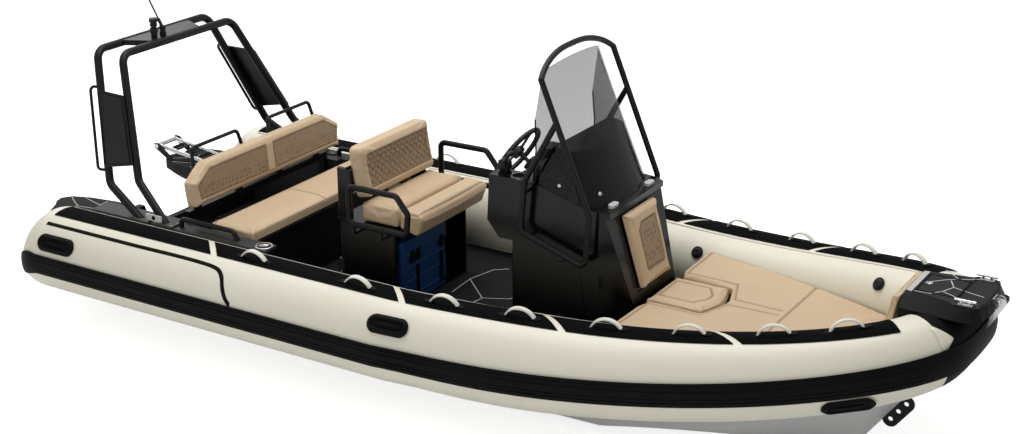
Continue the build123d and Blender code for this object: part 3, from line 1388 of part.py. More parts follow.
def cleats():
    """Low two-footed cleats beside the anchor lid."""
    found = []
    for side in SIDES:
        x = CLEAT_X
        y = side * CLEAT_Y
        z = STEP_TOP_Z + 0.3
        body = rod((x - CLEAT_HALF, y, z + CLEAT_RISE), (x + CLEAT_HALF, y, z + CLEAT_RISE), CLEAT_R)
        for dx in (-20, 20):
            body += Pos(x + dx, y, z + CLEAT_RISE / 2) * Cylinder(CLEAT_R, CLEAT_RISE)
        body += block(x - 34, x + 34, y - 13, y + 13, z, z + 5)
        found.append(body)
    return solids_of(*found)


def bow_eye():
    """Plate on the stem with three shackle holes."""
    a = Vector(EYE_LOW[0], 0, EYE_LOW[1])
    b = Vector(EYE_HIGH[0], 0, EYE_HIGH[1])
    along = (b - a).normalized()
    plane = Plane(origin=(a + b) / 2, x_dir=along, z_dir=(0, -1, 0))
    length = (b - a).length
    plate = extrude(SlotOverall(length + 60, EYE_WIDTH), amount=EYE_T / 2, both=True)
    for i in (-1, 0, 1):
        plate -= Pos(i * length / 2.4, 0, 0) * Cylinder(EYE_HOLE_R, 4 * EYE_T)
    return plane * plate - hull_envelope()


PARTS = {
    "hull": hull,
    "deck": deck,
    "transom": transom,
    "tube_starboard": lambda: tube_solid(-1),
    "tube_port": lambda: tube_solid(1),
    "bow_nose": nose,
    "rub_strakes": rub_strake,
    "tread_panels": tread_panels,
    "grip_patches": grip_patches,
    "grab_handles": grab_handles,
    "inflation_valves": valves,
    "swim_platforms": swim_platforms,
    "boarding_ladder": ladder,
    "side_decks": side_decks,
    "cup_holders": cup_holders,
    "bench_locker": bench_locker,
    "bench_lid": bench_lid,
    "bench_cushion": bench_cushion,
    "bench_back_cushion": bench_back,
    "bench_back_frame": bench_back_frame,
    "bench_side_rails": bench_rails,
    "arch_frame": arch_frame,
    "arch_feet": arch_feet,
    "arch_top_plate": arch_top_plate,
    "arch_side_panels": arch_side_panels,
    "arch_grab_bars": arch_grab_bars,
    "masthead_light": arch_light,
    "antenna": antenna,
    "helm_pod": helm_pod,
    "helm_armrests": helm_armrests,
    "helm_back_cushion": helm_back,
    "helm_seat_cushion": helm_cushion,
    "helm_bolster": helm_bolster,
    "cool_box": cool_box,
    "console": console,
    "console_door": console_door,
    "console_door_cushion": console_cushion,
    "console_hoop": console_rails,
    "windscreen": windscreen,
    "dash_panel": dash_panel,
    "steering_wheel": steering_wheel,
    "throttle": throttle,
    "console_lights": deck_lights,
    "bow_locker": bow_locker,
    "bow_pads": bow_pads,
    "bow_hatch_board": hatch_board,
    "bow_hatch_cushion": hatch_cushion,
    "bow_back_cushion": bow_back,
    "bow_step": bow_step,
    "anchor_lid": anchor_lid,
    "bow_roller": bow_roller,
    "bow_cleats": cleats,
    "bow_eye": bow_eye,
}

for name, build in PARTS.items():
    save(name, build())
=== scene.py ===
# %% [markdown]
# # A rigid inflatable boat, finished over its CAD model
# The CAD model is loaded as a fixed frame in metres: +X to the bow, +Y to port, +Z up, with the origin on
# the centreline at the waterline. Everything made here sits where the frame says, and rides on one of its
# bodies.

# %% Load the frame
import json
from math import ceil, cos, hypot, pi, radians, sin, sqrt

import bmesh
import bpy
import numpy as np
from mathutils import Matrix, Vector
from mathutils.bvhtree import BVHTree
from mathutils.kdtree import KDTree


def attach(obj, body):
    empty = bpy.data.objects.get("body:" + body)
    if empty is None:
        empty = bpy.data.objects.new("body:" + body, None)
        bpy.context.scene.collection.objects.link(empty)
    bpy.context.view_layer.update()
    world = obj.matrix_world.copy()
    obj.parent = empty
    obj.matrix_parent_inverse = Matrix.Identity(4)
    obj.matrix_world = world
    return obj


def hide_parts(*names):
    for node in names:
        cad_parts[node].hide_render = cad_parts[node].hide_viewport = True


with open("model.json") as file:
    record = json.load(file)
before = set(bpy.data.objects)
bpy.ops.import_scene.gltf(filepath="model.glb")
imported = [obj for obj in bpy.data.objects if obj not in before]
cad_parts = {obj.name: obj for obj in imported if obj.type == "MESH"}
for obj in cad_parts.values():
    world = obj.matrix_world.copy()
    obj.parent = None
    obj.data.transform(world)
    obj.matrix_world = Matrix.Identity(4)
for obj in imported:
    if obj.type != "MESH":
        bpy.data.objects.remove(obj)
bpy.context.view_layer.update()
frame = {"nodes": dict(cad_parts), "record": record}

MM = 0.001
SIDES = (-1, 1)  # starboard, port

# %% [markdown]
# ## Small helpers
# Colours are written as sRGB hex, as a paint chip would be read, and turned to linear light once.
# A node is added with its settings and its inputs in one call, which keeps each material a short list.

# %% Helpers for colours and nodes
def linear(hex_colour):
    """sRGB hex to linear RGBA."""
    values = [int(hex_colour[i:i + 2], 16) / 255 for i in (1, 3, 5)]
    light = [v / 12.92 if v <= 0.04045 else ((v + 0.055) / 1.055) ** 2.4 for v in values]
    return (*light, 1.0)


def add(tree, kind, inputs=None, **settings):
    """A node of that kind; each input is a value, or a socket to link from."""
    node = tree.nodes.new(kind)
    for key, value in settings.items():
        setattr(node, key, value)
    for key, value in (inputs or {}).items():
        if isinstance(value, bpy.types.NodeSocket):
            tree.links.new(value, node.inputs[key])
        else:
            node.inputs[key].default_value = value
    return node


def emptied(owner):
    """The node tree of a material or a world, cleared."""
    owner.use_nodes = True
    owner.node_tree.nodes.clear()
    return owner.node_tree


def maths(tree, operation, a, b):
    return add(tree, "ShaderNodeMath", {0: a, 1: b}, operation=operation).outputs[0]


def noise(tree, place, scale, detail):
    return add(tree, "ShaderNodeTexNoise", {"Vector": place, "Scale": scale, "Detail": detail}).outputs[0]


def grain(tree, place, size):
    """Noise whose grains are that many millimetres across."""
    return noise(tree, place, 1 / (size * MM), 1.0)


def cells(tree, place, size, randomness=1.0):
    """Distance to the middle of the nearest cell, for cells that many millimetres across."""
    return add(tree, "ShaderNodeTexVoronoi", {"Vector": place, "Scale": 1 / (size * MM),
                                              "Randomness": randomness}).outputs["Distance"]


def waves(tree, place, scale, direction):
    texture = add(tree, "ShaderNodeTexWave", {"Vector": place, "Scale": scale}, bands_direction=direction)
    return texture.outputs[1]


def waves_apart(size):
    """The wave texture's scale for crests that many millimetres apart."""
    return 1 / (size * MM) / 6.28 * pi


def span(tree, value, source=(0.0, 1.0), result=(0.0, 1.0)):
    """The value mapped from the source span to the result span."""
    return add(tree, "ShaderNodeMapRange", {"Value": value, "From Min": source[0], "From Max": source[1],
                                            "To Min": result[0], "To Max": result[1]}).outputs[0]


def stored(tree, name):
    """A value kept on the mesh."""
    return add(tree, "ShaderNodeAttribute", attribute_name=name).outputs["Fac"]


def blend(tree, factor, low, high):
    """A colour between two, each a hex code or a socket."""
    low, high = (linear(c) if isinstance(c, str) else c for c in (low, high))
    return add(tree, "ShaderNodeMix", {0: factor, 6: low, 7: high}, data_type="RGBA").outputs[2]


def start_material(name, hex_colour, roughness, **more):
    """A material with one Principled shader; also its tree, the shader and the object coordinates."""
    material = bpy.data.materials.new(name)
    tree = emptied(material)
    shader = add(tree, "ShaderNodeBsdfPrincipled", {"Base Color": linear(hex_colour), "Roughness": roughness})
    for key, value in more.items():
        shader.inputs[key.replace("_", " ")].default_value = value
    add(tree, "ShaderNodeOutputMaterial", {"Surface": shader.outputs["BSDF"]})
    place = add(tree, "ShaderNodeTexCoord").outputs["Object"]
    return material, tree, shader, place


def shade_between(tree, shader, factor, low, high):
    """The shader's colour runs between two by a factor."""
    tree.links.new(blend(tree, factor, low, high), shader.inputs["Base Color"])


def rough_between(tree, shader, factor, low, high):
    tree.links.new(span(tree, factor, result=(low, high)), shader.inputs["Roughness"])


def bump(tree, shader, height, depth):
    """Relief of that depth in millimetres, from a height of 0 to 1."""
    node = add(tree, "ShaderNodeBump", {"Height": height, "Distance": depth * MM, "Strength": 1.0})
    tree.links.new(node.outputs["Normal"], shader.inputs["Normal"])


# %% [markdown]
# ## The camera
# A long lens looks down on the starboard bow quarter. Its place and angles are in the boat's own frame.

# %% Camera
CAMERA_PLACE = (4.720, -7.520, 4.127)
CAMERA_HEADING = 31.35  # degrees from +Y towards aft
CAMERA_DIP = 20.68      # degrees below the horizon
CAMERA_LENS = 59.5      # mm on a 36 mm sensor

camera = bpy.data.objects.new("camera", bpy.data.cameras.new("camera"))
bpy.context.scene.collection.objects.link(camera)
camera.location = CAMERA_PLACE
camera.rotation_euler = (radians(90 - CAMERA_DIP), 0, radians(CAMERA_HEADING))
camera.data.lens = CAMERA_LENS
camera.data.sensor_width = 36.0
camera.data.clip_end = 200
bpy.context.scene.camera = camera

# %% [markdown]
# ## The studio
# The floor is the water's surface, pale and plain. It stays a lit, shadowed floor, and only for rays that
# come straight from the camera, or by way of gloss or glass, a little light of its own lifts it to white.

# %% Floor, world and lamps
FLOOR_HALF = 60.0
FLOOR_GLOW = 0.7
AMBIENT = 0.36
GLOSS_SHARE = 0.45  # how much of the white a glossy surface mirrors


def seen_by_eye(tree):
    """1 for camera and transmission rays, a share for glossy rays, else 0."""
    path = add(tree, "ShaderNodeLightPath").outputs
    dimmed = maths(tree, "MULTIPLY", path["Is Glossy Ray"], GLOSS_SHARE)
    first = maths(tree, "MAXIMUM", path["Is Camera Ray"], dimmed)
    return maths(tree, "MAXIMUM", first, path["Is Transmission Ray"])


def studio_floor():
    mesh = bpy.data.meshes.new("water_level_floor")
    h = FLOOR_HALF
    mesh.from_pydata([(-h, -h, 0), (h, -h, 0), (h, h, 0), (-h, h, 0)], [], [(0, 1, 2, 3)])
    floor = bpy.data.objects.new("water_level_floor", mesh)
    bpy.context.scene.collection.objects.link(floor)
    material = bpy.data.materials.new("pale_floor")
    tree = emptied(material)
    matt = add(tree, "ShaderNodeBsdfDiffuse", {"Color": linear("#F2F2F2")})
    lift = maths(tree, "MULTIPLY", seen_by_eye(tree), FLOOR_GLOW)
    glow = add(tree, "ShaderNodeEmission", {"Color": (1, 1, 1, 1), "Strength": lift})
    both = add(tree, "ShaderNodeAddShader", {0: matt.outputs[0], 1: glow.outputs[0]})
    add(tree, "ShaderNodeOutputMaterial", {"Surface": both.outputs[0]})
    mesh.materials.append(material)


def studio_world():
    world = bpy.data.worlds.new("studio")
    bpy.context.scene.world = world
    tree = emptied(world)
    level = span(tree, seen_by_eye(tree), result=(AMBIENT, 1.0))
    sky = add(tree, "ShaderNodeBackground", {"Color": (1, 1, 1, 1), "Strength": level})
    add(tree, "ShaderNodeOutputWorld", {"Surface": sky.outputs[0]})


def softbox(name, place, target, size, watts):
    light = bpy.data.lights.new(name, "AREA")
    light.shape = "RECTANGLE"
    light.size, light.size_y = size
    light.energy = watts
    lamp = bpy.data.objects.new(name, light)
    bpy.context.scene.collection.objects.link(lamp)
    lamp.location = place
    lamp.rotation_euler = (Vector(target) - Vector(place)).to_track_quat("-Z", "Y").to_euler()


studio_floor()
studio_world()
softbox("overhead", (-0.5, 0.8, 7.0), (0, 0, 0), (7.0, 4.0), 370)
softbox("side_fill", (1.5, -8.0, 3.5), (0, 0, 0.4), (5.0, 2.5), 70)
softbox("stern_rim", (-7.0, 3.0, 4.5), (-1, 0, 0.5), (4.0, 2.5), 90)
bpy.context.scene.view_settings.view_transform = "Standard"

# %% [markdown]
# ## Finishes
# Each finish is named for the real material. Relief is worked out from real sizes in millimetres; where a
# grain is too fine for the picture, it is drawn coarser, and the comment says so.

# %% Coated tube fabric
def tube_fabric():
    """Polyurethane-coated fabric, calendered: satin, with the ghost of its weave."""
    material, tree, shader, place = start_material("coated_tube_fabric", "#E9E5D3", 0.42, IOR=1.5)
    # The weave is 0.6 mm; it is drawn at 3 mm so that it shows as a soft tooth.
    bump(tree, shader, grain(tree, place, 3), 0.12)
    shade_between(tree, shader, noise(tree, place, 1.4, 2.0), "#E6E1CE", "#ECE8D8")
    return material


# %% Moulded rubber and its tread
def moulded_rubber():
    """Extruded and glued black rubber: dull, with a faint bloom."""
    material, tree, shader, place = start_material("moulded_black_rubber", "#080808", 0.6, IOR=1.5,
                                                   Specular_IOR_Level=0.08)
    shade_between(tree, shader, noise(tree, place, 9.0, 3.0), "#060606", "#0B0B0A")
    bump(tree, shader, grain(tree, place, 2.5), 0.15)
    return material


def tread_rubber():
    """Grip panels embossed with a small diamond."""
    material, tree, shader, place = start_material("embossed_tread_rubber", "#080809", 0.8, IOR=1.5,
                                                   Specular_IOR_Level=0.04)
    # The diamonds are 6 mm on the boat and are drawn at 9 mm so that they show.
    slanted = add(tree, "ShaderNodeMapping", {"Vector": place, "Rotation": (0, 0, radians(45))}).outputs[0]
    crests = [waves(tree, slanted, waves_apart(9), axis) for axis in ("X", "Y")]
    bump(tree, shader, maths(tree, "MULTIPLY", *crests), 0.7)
    return material


def cream_rubber():
    """Moulded handle straps in the tube's colour."""
    material, tree, shader, place = start_material("moulded_cream_rubber", "#E4E1D6", 0.45, IOR=1.5)
    bump(tree, shader, grain(tree, place, 2), 0.1)
    return material


# %% Vinyl
COVER_LOW, COVER_HIGH = "#C8AE8E", "#D0B696"


def marine_vinyl():
    """Calendered vinyl over foam: fine grain and a soft sheen; panels are punched, and painted shade darkens
    the seams.
    """
    material, tree, shader, place = start_material("tan_marine_vinyl", COVER_LOW, 0.52, IOR=1.48)
    plain = blend(tree, noise(tree, place, 6.0, 3.0), COVER_LOW, COVER_HIGH)
    # Holes stand 5 mm apart on the roll and are drawn 9 mm apart, in groups 30 mm apart.
    # The hole centres are painted dark brown: painted shade inside each hole.
    rim = span(tree, cells(tree, place, 9, 0.1), (0.16, 0.3))
    group = span(tree, cells(tree, place, 30, 0.3), (0.25, 0.5))
    punched = blend(tree, rim, "#67543F", blend(tree, group, "#7F694F", "#9E866A"))
    in_panel = span(tree, stored(tree, "panel"), (0.0, 0.12))
    # Towards each seam the colour runs to deep brown: painted shade in the pressed-in seam.
    seam_painted_shade = span(tree, stored(tree, "seam"), (0.4, 1.0), (0.0, 0.9))
    shade_between(tree, shader, seam_painted_shade, blend(tree, in_panel, plain, punched), "#54442F")
    # The grain is 1.2 mm on the roll and is drawn at 3.5 mm.
    pits = maths(tree, "MULTIPLY", rim, 2.0)
    relief = add(tree, "ShaderNodeMix", {0: in_panel, 2: cells(tree, place, 3.5), 3: pits})
    bump(tree, shader, relief.outputs[0], 0.25)
    return material


def bonded_thread():
    """Bonded polyester thread: twisted, a shade darker than the vinyl, dull."""
    material, tree, shader, place = start_material("bonded_thread", "#A78C6B", 0.7)
    # The twist is 0.8 mm and is drawn at 1.6 mm.
    # The plies are painted in lighter and darker bands along the twist: painted highlight and shade on each
    # ply.
    shade_between(tree, shader, waves(tree, place, waves_apart(1.6), "DIAGONAL"), "#94795A", "#B49877")
    return material


# %% Deck foam
def deck_foam(name, low, high):
    """Closed-cell deck foam, brushed along the boat: dull, with fine scores."""
    material, tree, shader, place = start_material(name, low, 0.85, IOR=1.45, Specular_IOR_Level=0.2)
    along = add(tree, "ShaderNodeMapping", {"Vector": place, "Scale": (12, 900, 12)}).outputs[0]
    score = noise(tree, along, 1.0, 2.0)
    shade_between(tree, shader, score, low, high)
    bump(tree, shader, score, 0.25)
    return material


# %% Paints, gelcoat and plastics
def powder_coat(name, low, high, rough, gloss=0.5):
    """Powder coat baked on aluminium: even colour with a slight pebble."""
    material, tree, shader, place = start_material(name, low, rough, IOR=1.5, Specular_IOR_Level=gloss)
    # The pebble is 0.8 mm and is drawn at 2 mm.
    bump(tree, shader, grain(tree, place, 2), 0.08)
    shade_between(tree, shader, noise(tree, place, 4.0, 2.0), low, high)
    return material


def black_gelcoat():
    """Gelcoat on fibreglass, polished: deep black with a slight orange peel."""
    material, tree, shader, place = start_material("polished_black_gelcoat", "#0A0A0B", 0.18, IOR=1.52,
                                                   Specular_IOR_Level=0.24)
    # Orange peel stands 5 mm apart and is drawn 30 mm apart, very shallow.
    bump(tree, shader, grain(tree, place, 30), 0.02)
    rough_between(tree, shader, noise(tree, place, 3.0, 3.0), 0.13, 0.24)
    return material


def moulded_plastic(name, low, high, rough, gloss=0.5):
    """Injection-moulded plastic with a spark-eroded grain."""
    material, tree, shader, place = start_material(name, low, rough, IOR=1.49, Specular_IOR_Level=gloss)
    bump(tree, shader, cells(tree, place, 2.2), 0.1)
    shade_between(tree, shader, noise(tree, place, 5.0, 2.0), low, high)
    return material


# %% Metals, glass and lenses
def polished_stainless():
    """Stainless fittings, polished by hand: bright with faint rub marks."""
    material, tree, shader, place = start_material("polished_stainless", "#C9CACB", 0.2, Metallic=1.0)
    rough_between(tree, shader, noise(tree, place, 160.0, 2.0), 0.14, 0.32)
    return material


def smoked_acrylic():
    """Cast acrylic sheet, tinted grey: clear gloss that darkens what is behind it."""
    material, tree, shader, place = start_material("smoked_acrylic", "#0B0B0C", 0.04, IOR=1.49, Alpha=0.46,
                                                   Specular_IOR_Level=0.3)
    rough_between(tree, shader, noise(tree, place, 7.0, 4.0), 0.03, 0.09)
    return material


def clear_lens():
    """Moulded lamp lens over a white reflector."""
    material, tree, shader, place = start_material("ribbed_lamp_lens", "#DDDDD8", 0.12, IOR=1.49,
                                                   Coat_Weight=0.6)
    ribs = waves(tree, place, 40.0, "Y")
    bump(tree, shader, ribs, 0.6)
    # Each rib is painted light to dark across its width, in step with its relief: painted highlight and shade
    # on the ribs.
    shade_between(tree, shader, ribs, "#B9BAB8", "#EFEFEB")
    return material


FABRIC = tube_fabric()
RUBBER = moulded_rubber()
TREAD = tread_rubber()
CREAM = cream_rubber()
COVER = marine_vinyl()
THREAD = bonded_thread()
FOAM = deck_foam("brushed_deck_foam", "#111214", "#1A1B1D")
STEP_FOAM = deck_foam("brushed_grey_foam", "#272928", "#333533")
BLACK_COAT = powder_coat("black_powder_coat", "#0A0A0B", "#0F0F10", 0.4, 0.22)
GREY_COAT = powder_coat("grey_powder_coat", "#232425", "#2B2C2D", 0.5, 0.3)
HULL_PAINT = powder_coat("grey_hull_paint", "#CECECD", "#D6D6D4", 0.35)
GELCOAT = black_gelcoat()
PLASTIC = moulded_plastic("black_moulded_plastic", "#0F0F10", "#151516", 0.46, 0.3)
STEP_SHELL = moulded_plastic("satin_black_shell", "#0A0A0B", "#0E0E0F", 0.5, 0.12)
BLUE_PLASTIC = moulded_plastic("blue_rotomoulded_plastic", "#0D3768", "#114278", 0.45, 0.3)
WHEEL_GRIP = moulded_plastic("soft_wheel_grip", "#151516", "#1B1B1C", 0.55)
WHITE_LINE = moulded_plastic("white_foam_inlay", "#B9BAB8", "#C6C6C4", 0.7)
STEEL = polished_stainless()
ACRYLIC = smoked_acrylic()
LENS = clear_lens()

# %% [markdown]
# ## CAD pieces that keep their shape
# Most rigid pieces are right as the CAD made them, so they only take a finish, by the record's material slot.

# %% Finishes on the CAD nodes
SLOT_FINISH = {
    "hull_aluminium": HULL_PAINT, "deck_eva": FOAM, "tube_cream": FABRIC, "rubber_black": RUBBER,
    "rubber_cream": CREAM, "plastic_black": PLASTIC, "powder_black": BLACK_COAT, "stainless": STEEL,
    "powder_grey": GREY_COAT, "vinyl_tan": COVER, "gelcoat_black": GELCOAT, "cool_box_blue": BLUE_PLASTIC,
    "screen_smoked": ACRYLIC, "wheel_black": WHEEL_GRIP, "lens_white": LENS}
SLOT_OF = {part["node"]: part["material_slot"] for part in frame["record"]["subparts"]}
BODY_OF = {node: body for body, nodes in frame["record"]["behaviour"]["bodies"].items() for node in nodes}
SPECIAL = {"tread_panels": TREAD, "bow_step": STEP_SHELL, "anchor_lid": STEP_SHELL,
           "transom": STEP_SHELL, "swim_platforms": STEP_FOAM}

for node, obj in frame["nodes"].items():
    obj.data.materials.clear()
    obj.data.materials.append(SPECIAL.get(node, SLOT_FINISH[SLOT_OF[node]]))
print(len(frame["nodes"]), "CAD nodes have a finish")

# %% [markdown]
# ## Tools for new pieces
# A CAD mesh comes as loose triangles, so a copy is joined first. Each new piece keeps its object at the
# origin with its place in its mesh, as the CAD nodes do, and takes one finish and one body.

# %% Mesh helpers
def new_object(name, mesh):
    obj = bpy.data.objects.new(name, mesh)
    bpy.context.scene.collection.objects.link(obj)
    return obj


def mesh_from(work, name):
    """The work mesh closed off as a new mesh."""
    mesh = bpy.data.meshes.new(name)
    work.to_mesh(mesh)
    work.free()
    return mesh


def joined_copy(node):
    """A CAD node's mesh with its loose triangles joined, as a new mesh."""
    mesh = frame["nodes"][node].data.copy()
    work = bmesh.new()
    work.from_mesh(mesh)
    bmesh.ops.remove_doubles(work, verts=work.verts, dist=0.02 * MM)
    work.to_mesh(mesh)
    work.free()
    mesh.materials.clear()
    return mesh


def joined(name, meshes):
    """Several meshes as one object."""
    work = bmesh.new()
    for mesh in meshes:
        work.from_mesh(mesh)
        bpy.data.meshes.remove(mesh)
    return new_object(name, mesh_from(work, name))


def baked(obj):
    """The object with its modifiers turned into its mesh."""
    mesh = bpy.data.meshes.new_from_object(obj.evaluated_get(bpy.context.evaluated_depsgraph_get()))
    obj.modifiers.clear()
    obj.data = mesh
    return obj


def subdivide_later(obj):
    finer = obj.modifiers.new("finer", "SUBSURF")
    finer.levels = finer.render_levels = 1


def points_of(mesh, kind="co"):
    flat = np.empty(len(mesh.vertices) * 3, np.float32)
    mesh.vertices.foreach_get(kind, flat)
    return flat.reshape(-1, 3).astype(float)


def set_points(mesh, points):
    mesh.vertices.foreach_set("co", points.astype(np.float32).ravel())
    mesh.update()


def surface_tree(mesh):
    """The mesh's faces, ready for rays and nearest points."""
    return BVHTree.FromPolygons([v.co for v in mesh.vertices], [p.vertices for p in mesh.polygons])


def dressed(obj, material, body, smooth=True):
    """Gives a finished piece its material and its body."""
    obj.data.materials.clear()
    obj.data.materials.append(material)
    for polygon in obj.data.polygons:
        polygon.use_smooth = smooth
    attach(obj, body)
    return obj


def piece(name, meshes, material, slot, body="boat", smooth=False):
    """One dressed object from several meshes."""
    return dressed(joined(name, meshes), material, body, smooth)


def both_sides(make):
    """The mesh a maker gives for starboard and for port."""
    return [make(side) for side in SIDES]


def circle(count, shift=0.0):
    """Angles round a circle."""
    return [2 * pi * (i + shift) / count for i in range(count)]


def closed_mesh(name, rings):
    """A skin through rings of points in millimetres, its two ends capped."""
    work = bmesh.new()
    rows = [[work.verts.new(Vector(p) * MM) for p in ring] for ring in rings]
    count = len(rows[0])
    for low, high in zip(rows, rows[1:]):
        for i in range(count):
            j = (i + 1) % count
            work.faces.new((low[i], low[j], high[j], high[i]))
    work.faces.new(rows[0][::-1])
    work.faces.new(rows[-1])
    bmesh.ops.recalc_face_normals(work, faces=work.faces)
    return mesh_from(work, name)


# %% [markdown]
# ## Things that repeat
# Stitches and screws are one small shape set out many times. Two Geometry Nodes trees do it: one sets a shape
# along paths at a pitch, the other stands it on points along their normals. Each result is made a plain mesh,
# because instances are lost in the export.

# %% Geometry Nodes trees for repeats
def tree_with(name, inputs):
    """An empty geometry tree with named inputs; also its input and output nodes."""
    tree = bpy.data.node_groups.new(name, "GeometryNodeTree")
    tree.interface.new_socket("Geometry", in_out="INPUT", socket_type="NodeSocketGeometry")
    for label, kind in inputs:
        tree.interface.new_socket(label, in_out="INPUT", socket_type=kind)
    tree.interface.new_socket("Geometry", in_out="OUTPUT", socket_type="NodeSocketGeometry")
    return tree, tree.nodes.new("NodeGroupInput"), tree.nodes.new("NodeGroupOutput")


def repeat_tree(name, along_path):
    """Sets Piece along the paths every Pitch metres, or on the points, facing up their stored normals."""
    tree, entry, end = tree_with(name, (("Piece", "NodeSocketObject"), ("Pitch", "NodeSocketFloat"),
                                        ("Finish", "NodeSocketMaterial")))
    given = entry.outputs
    piece = add(tree, "GeometryNodeObjectInfo", {"Object": given["Piece"]}, transform_space="ORIGINAL")
    normal = add(tree, "GeometryNodeInputNamedAttribute", {"Name": "up"}, data_type="FLOAT_VECTOR")
    stood = add(tree, "FunctionNodeAlignRotationToVector", {"Vector": normal.outputs["Attribute"]}, axis="Z")
    if along_path:
        curve = add(tree, "GeometryNodeMeshToCurve", {"Mesh": given["Geometry"]})
        spaced = add(tree, "GeometryNodeResampleCurve", {"Curve": curve.outputs[0], "Length": given["Pitch"]},
                     mode="LENGTH")
        places = spaced.outputs[0]
        tangent = add(tree, "GeometryNodeInputTangent")
        stood = add(tree, "FunctionNodeAlignRotationToVector",
                    {"Rotation": stood.outputs[0], "Vector": tangent.outputs[0]}, axis="X", pivot_axis="Z")
    else:
        places = given["Geometry"]
    copies = add(tree, "GeometryNodeInstanceOnPoints",
                 {"Points": places, "Instance": piece.outputs["Geometry"], "Rotation": stood.outputs[0]})
    real = add(tree, "GeometryNodeRealizeInstances", {0: copies.outputs[0]})
    coated = add(tree, "GeometryNodeSetMaterial", {"Geometry": real.outputs[0], "Material": given["Finish"]})
    tree.links.new(coated.outputs[0], end.inputs[0])
    return tree


ALONG = repeat_tree("set_along_paths", True)
ON_POINTS = repeat_tree("set_on_points", False)


def set_out(name, tree, piece, places, normals, material, pitch=0.0, edges=()):
    """Runs a repeat tree over places (metres) and returns the result as one plain mesh object."""
    mesh = bpy.data.meshes.new(name)
    mesh.from_pydata([tuple(p) for p in places], list(edges), [])
    up = mesh.attributes.new("up", "FLOAT_VECTOR", "POINT")
    up.data.foreach_set("vector", np.asarray(normals, np.float32).ravel())
    obj = new_object(name, mesh)
    modifier = obj.modifiers.new("repeat", "NODES")
    modifier.node_group = tree
    values = {"Piece": piece, "Pitch": pitch, "Finish": material}
    for item in tree.interface.items_tree:
        if item.in_out == "INPUT" and item.name in values:
            modifier[item.identifier] = values[item.name]
    return baked(obj)


def shape(name, rings, sides, sizes, turn=0.0):
    """A small lathed shape from (radius, height) rings, turned about Y, then scaled, and kept hidden."""
    verts = [(r * cos(a), r * sin(a), z) for r, z in rings for a in circle(sides)]
    faces = [(k + i, k + (i + 1) % sides, k + sides + (i + 1) % sides, k + sides + i)
             for k in range(0, len(verts) - sides, sides) for i in range(sides)]
    faces += [tuple(reversed(range(sides))), tuple(range(len(verts) - sides, len(verts)))]
    mesh = bpy.data.meshes.new(name)
    mesh.from_pydata(verts, [], faces)
    mesh.transform(Matrix.Diagonal((*sizes, 1)) @ Matrix.Rotation(turn, 4, "Y"))
    obj = new_object(name, mesh)
    obj.hide_render = True
    return obj


# %% The small shapes that repeat
THREAD_LENGTH, THREAD_R = 5.2 * MM, 0.85 * MM
SCREW_R = 5.0 * MM
tapered = [(0.25 * THREAD_R, -0.5), (THREAD_R, -0.3), (THREAD_R, 0.3), (0.25 * THREAD_R, 0.5)]
stitch = shape("stitch_shape", tapered, 5, (THREAD_LENGTH, 1, 1), radians(90))
screw = shape("screw_shape", [(1.0, 0), (0.96, 0.22), (0.8, 0.42), (0.42, 0.52), (0.36, 0.3), (0.12, 0.28)],
              12, (SCREW_R, SCREW_R, SCREW_R))
print("repeat trees and two small shapes are ready")

# %% [markdown]
# ## Cushions
# Each is foam in a sewn vinyl cover. A cloth simulation with air pressure and no gravity blows the cover up a
# little, which crowns the wide faces and pulls in the sides between corners. The faces that rest on something
# are held. Seams come after it, pressed in along lines laid on the finished surface, because the remesh would
# wipe them out.

# %% Blowing up a cover
PRESSURE = 4.0
FRAMES = 20
START_IN = 4.0 * MM    # the foam starts this much inside its CAD solid
HELD = 0.75            # a face turned this far towards its rest is held flat
TOP_PROUD = 5.0 * MM   # a crown may stand this far out of the CAD solid
SIDE_PROUD = 0.5 * MM


def blown_cover(mesh, rest_on, cap):
    """The mesh after the cloth simulation; faces turned to rest_on stay."""
    obj = new_object("cover_trial", mesh)
    start = points_of(mesh)
    facing = points_of(mesh, "normal") @ np.array(rest_on)
    held = obj.vertex_groups.new(name="held")
    held.add([int(i) for i in np.nonzero(facing > HELD)[0]], 1.0, "REPLACE")
    cloth = obj.modifiers.new("cover", "CLOTH")
    cloth.settings.quality = 3
    cloth.settings.vertex_group_mass = "held"
    cloth.settings.use_pressure = True
    cloth.settings.uniform_pressure_force = PRESSURE
    cloth.settings.effector_weights.gravity = 0
    cloth.collision_settings.use_collision = False
    cloth.point_cache.frame_end = FRAMES
    for step in range(1, FRAMES + 1):
        bpy.context.scene.frame_set(step)
    result = obj.evaluated_get(bpy.context.evaluated_depsgraph_get()).to_mesh()
    moved = points_of(result) - start
    length = np.linalg.norm(moved, axis=1, keepdims=True)
    set_points(mesh, start + moved * np.minimum(1.0, cap / np.maximum(length, 1e-9)))
    bpy.context.scene.frame_set(1)
    bpy.data.objects.remove(obj)
    return mesh


def kept_near(mesh, solid, rest_on):
    """Pulls back whatever stands too far out of the CAD solid, and all that leaves it where it rests."""
    tree = surface_tree(solid)
    points = points_of(mesh)
    for i, point in enumerate(points):
        near, normal, _, _ = tree.find_nearest(point)
        out = (Vector(point) - near).dot(normal)
        down = normal.dot(Vector(rest_on))
        proud = -0.3 * MM if down > 0.5 else TOP_PROUD if down < -0.5 else SIDE_PROUD
        if out > proud:
            points[i] = near + normal * proud
    set_points(mesh, points)


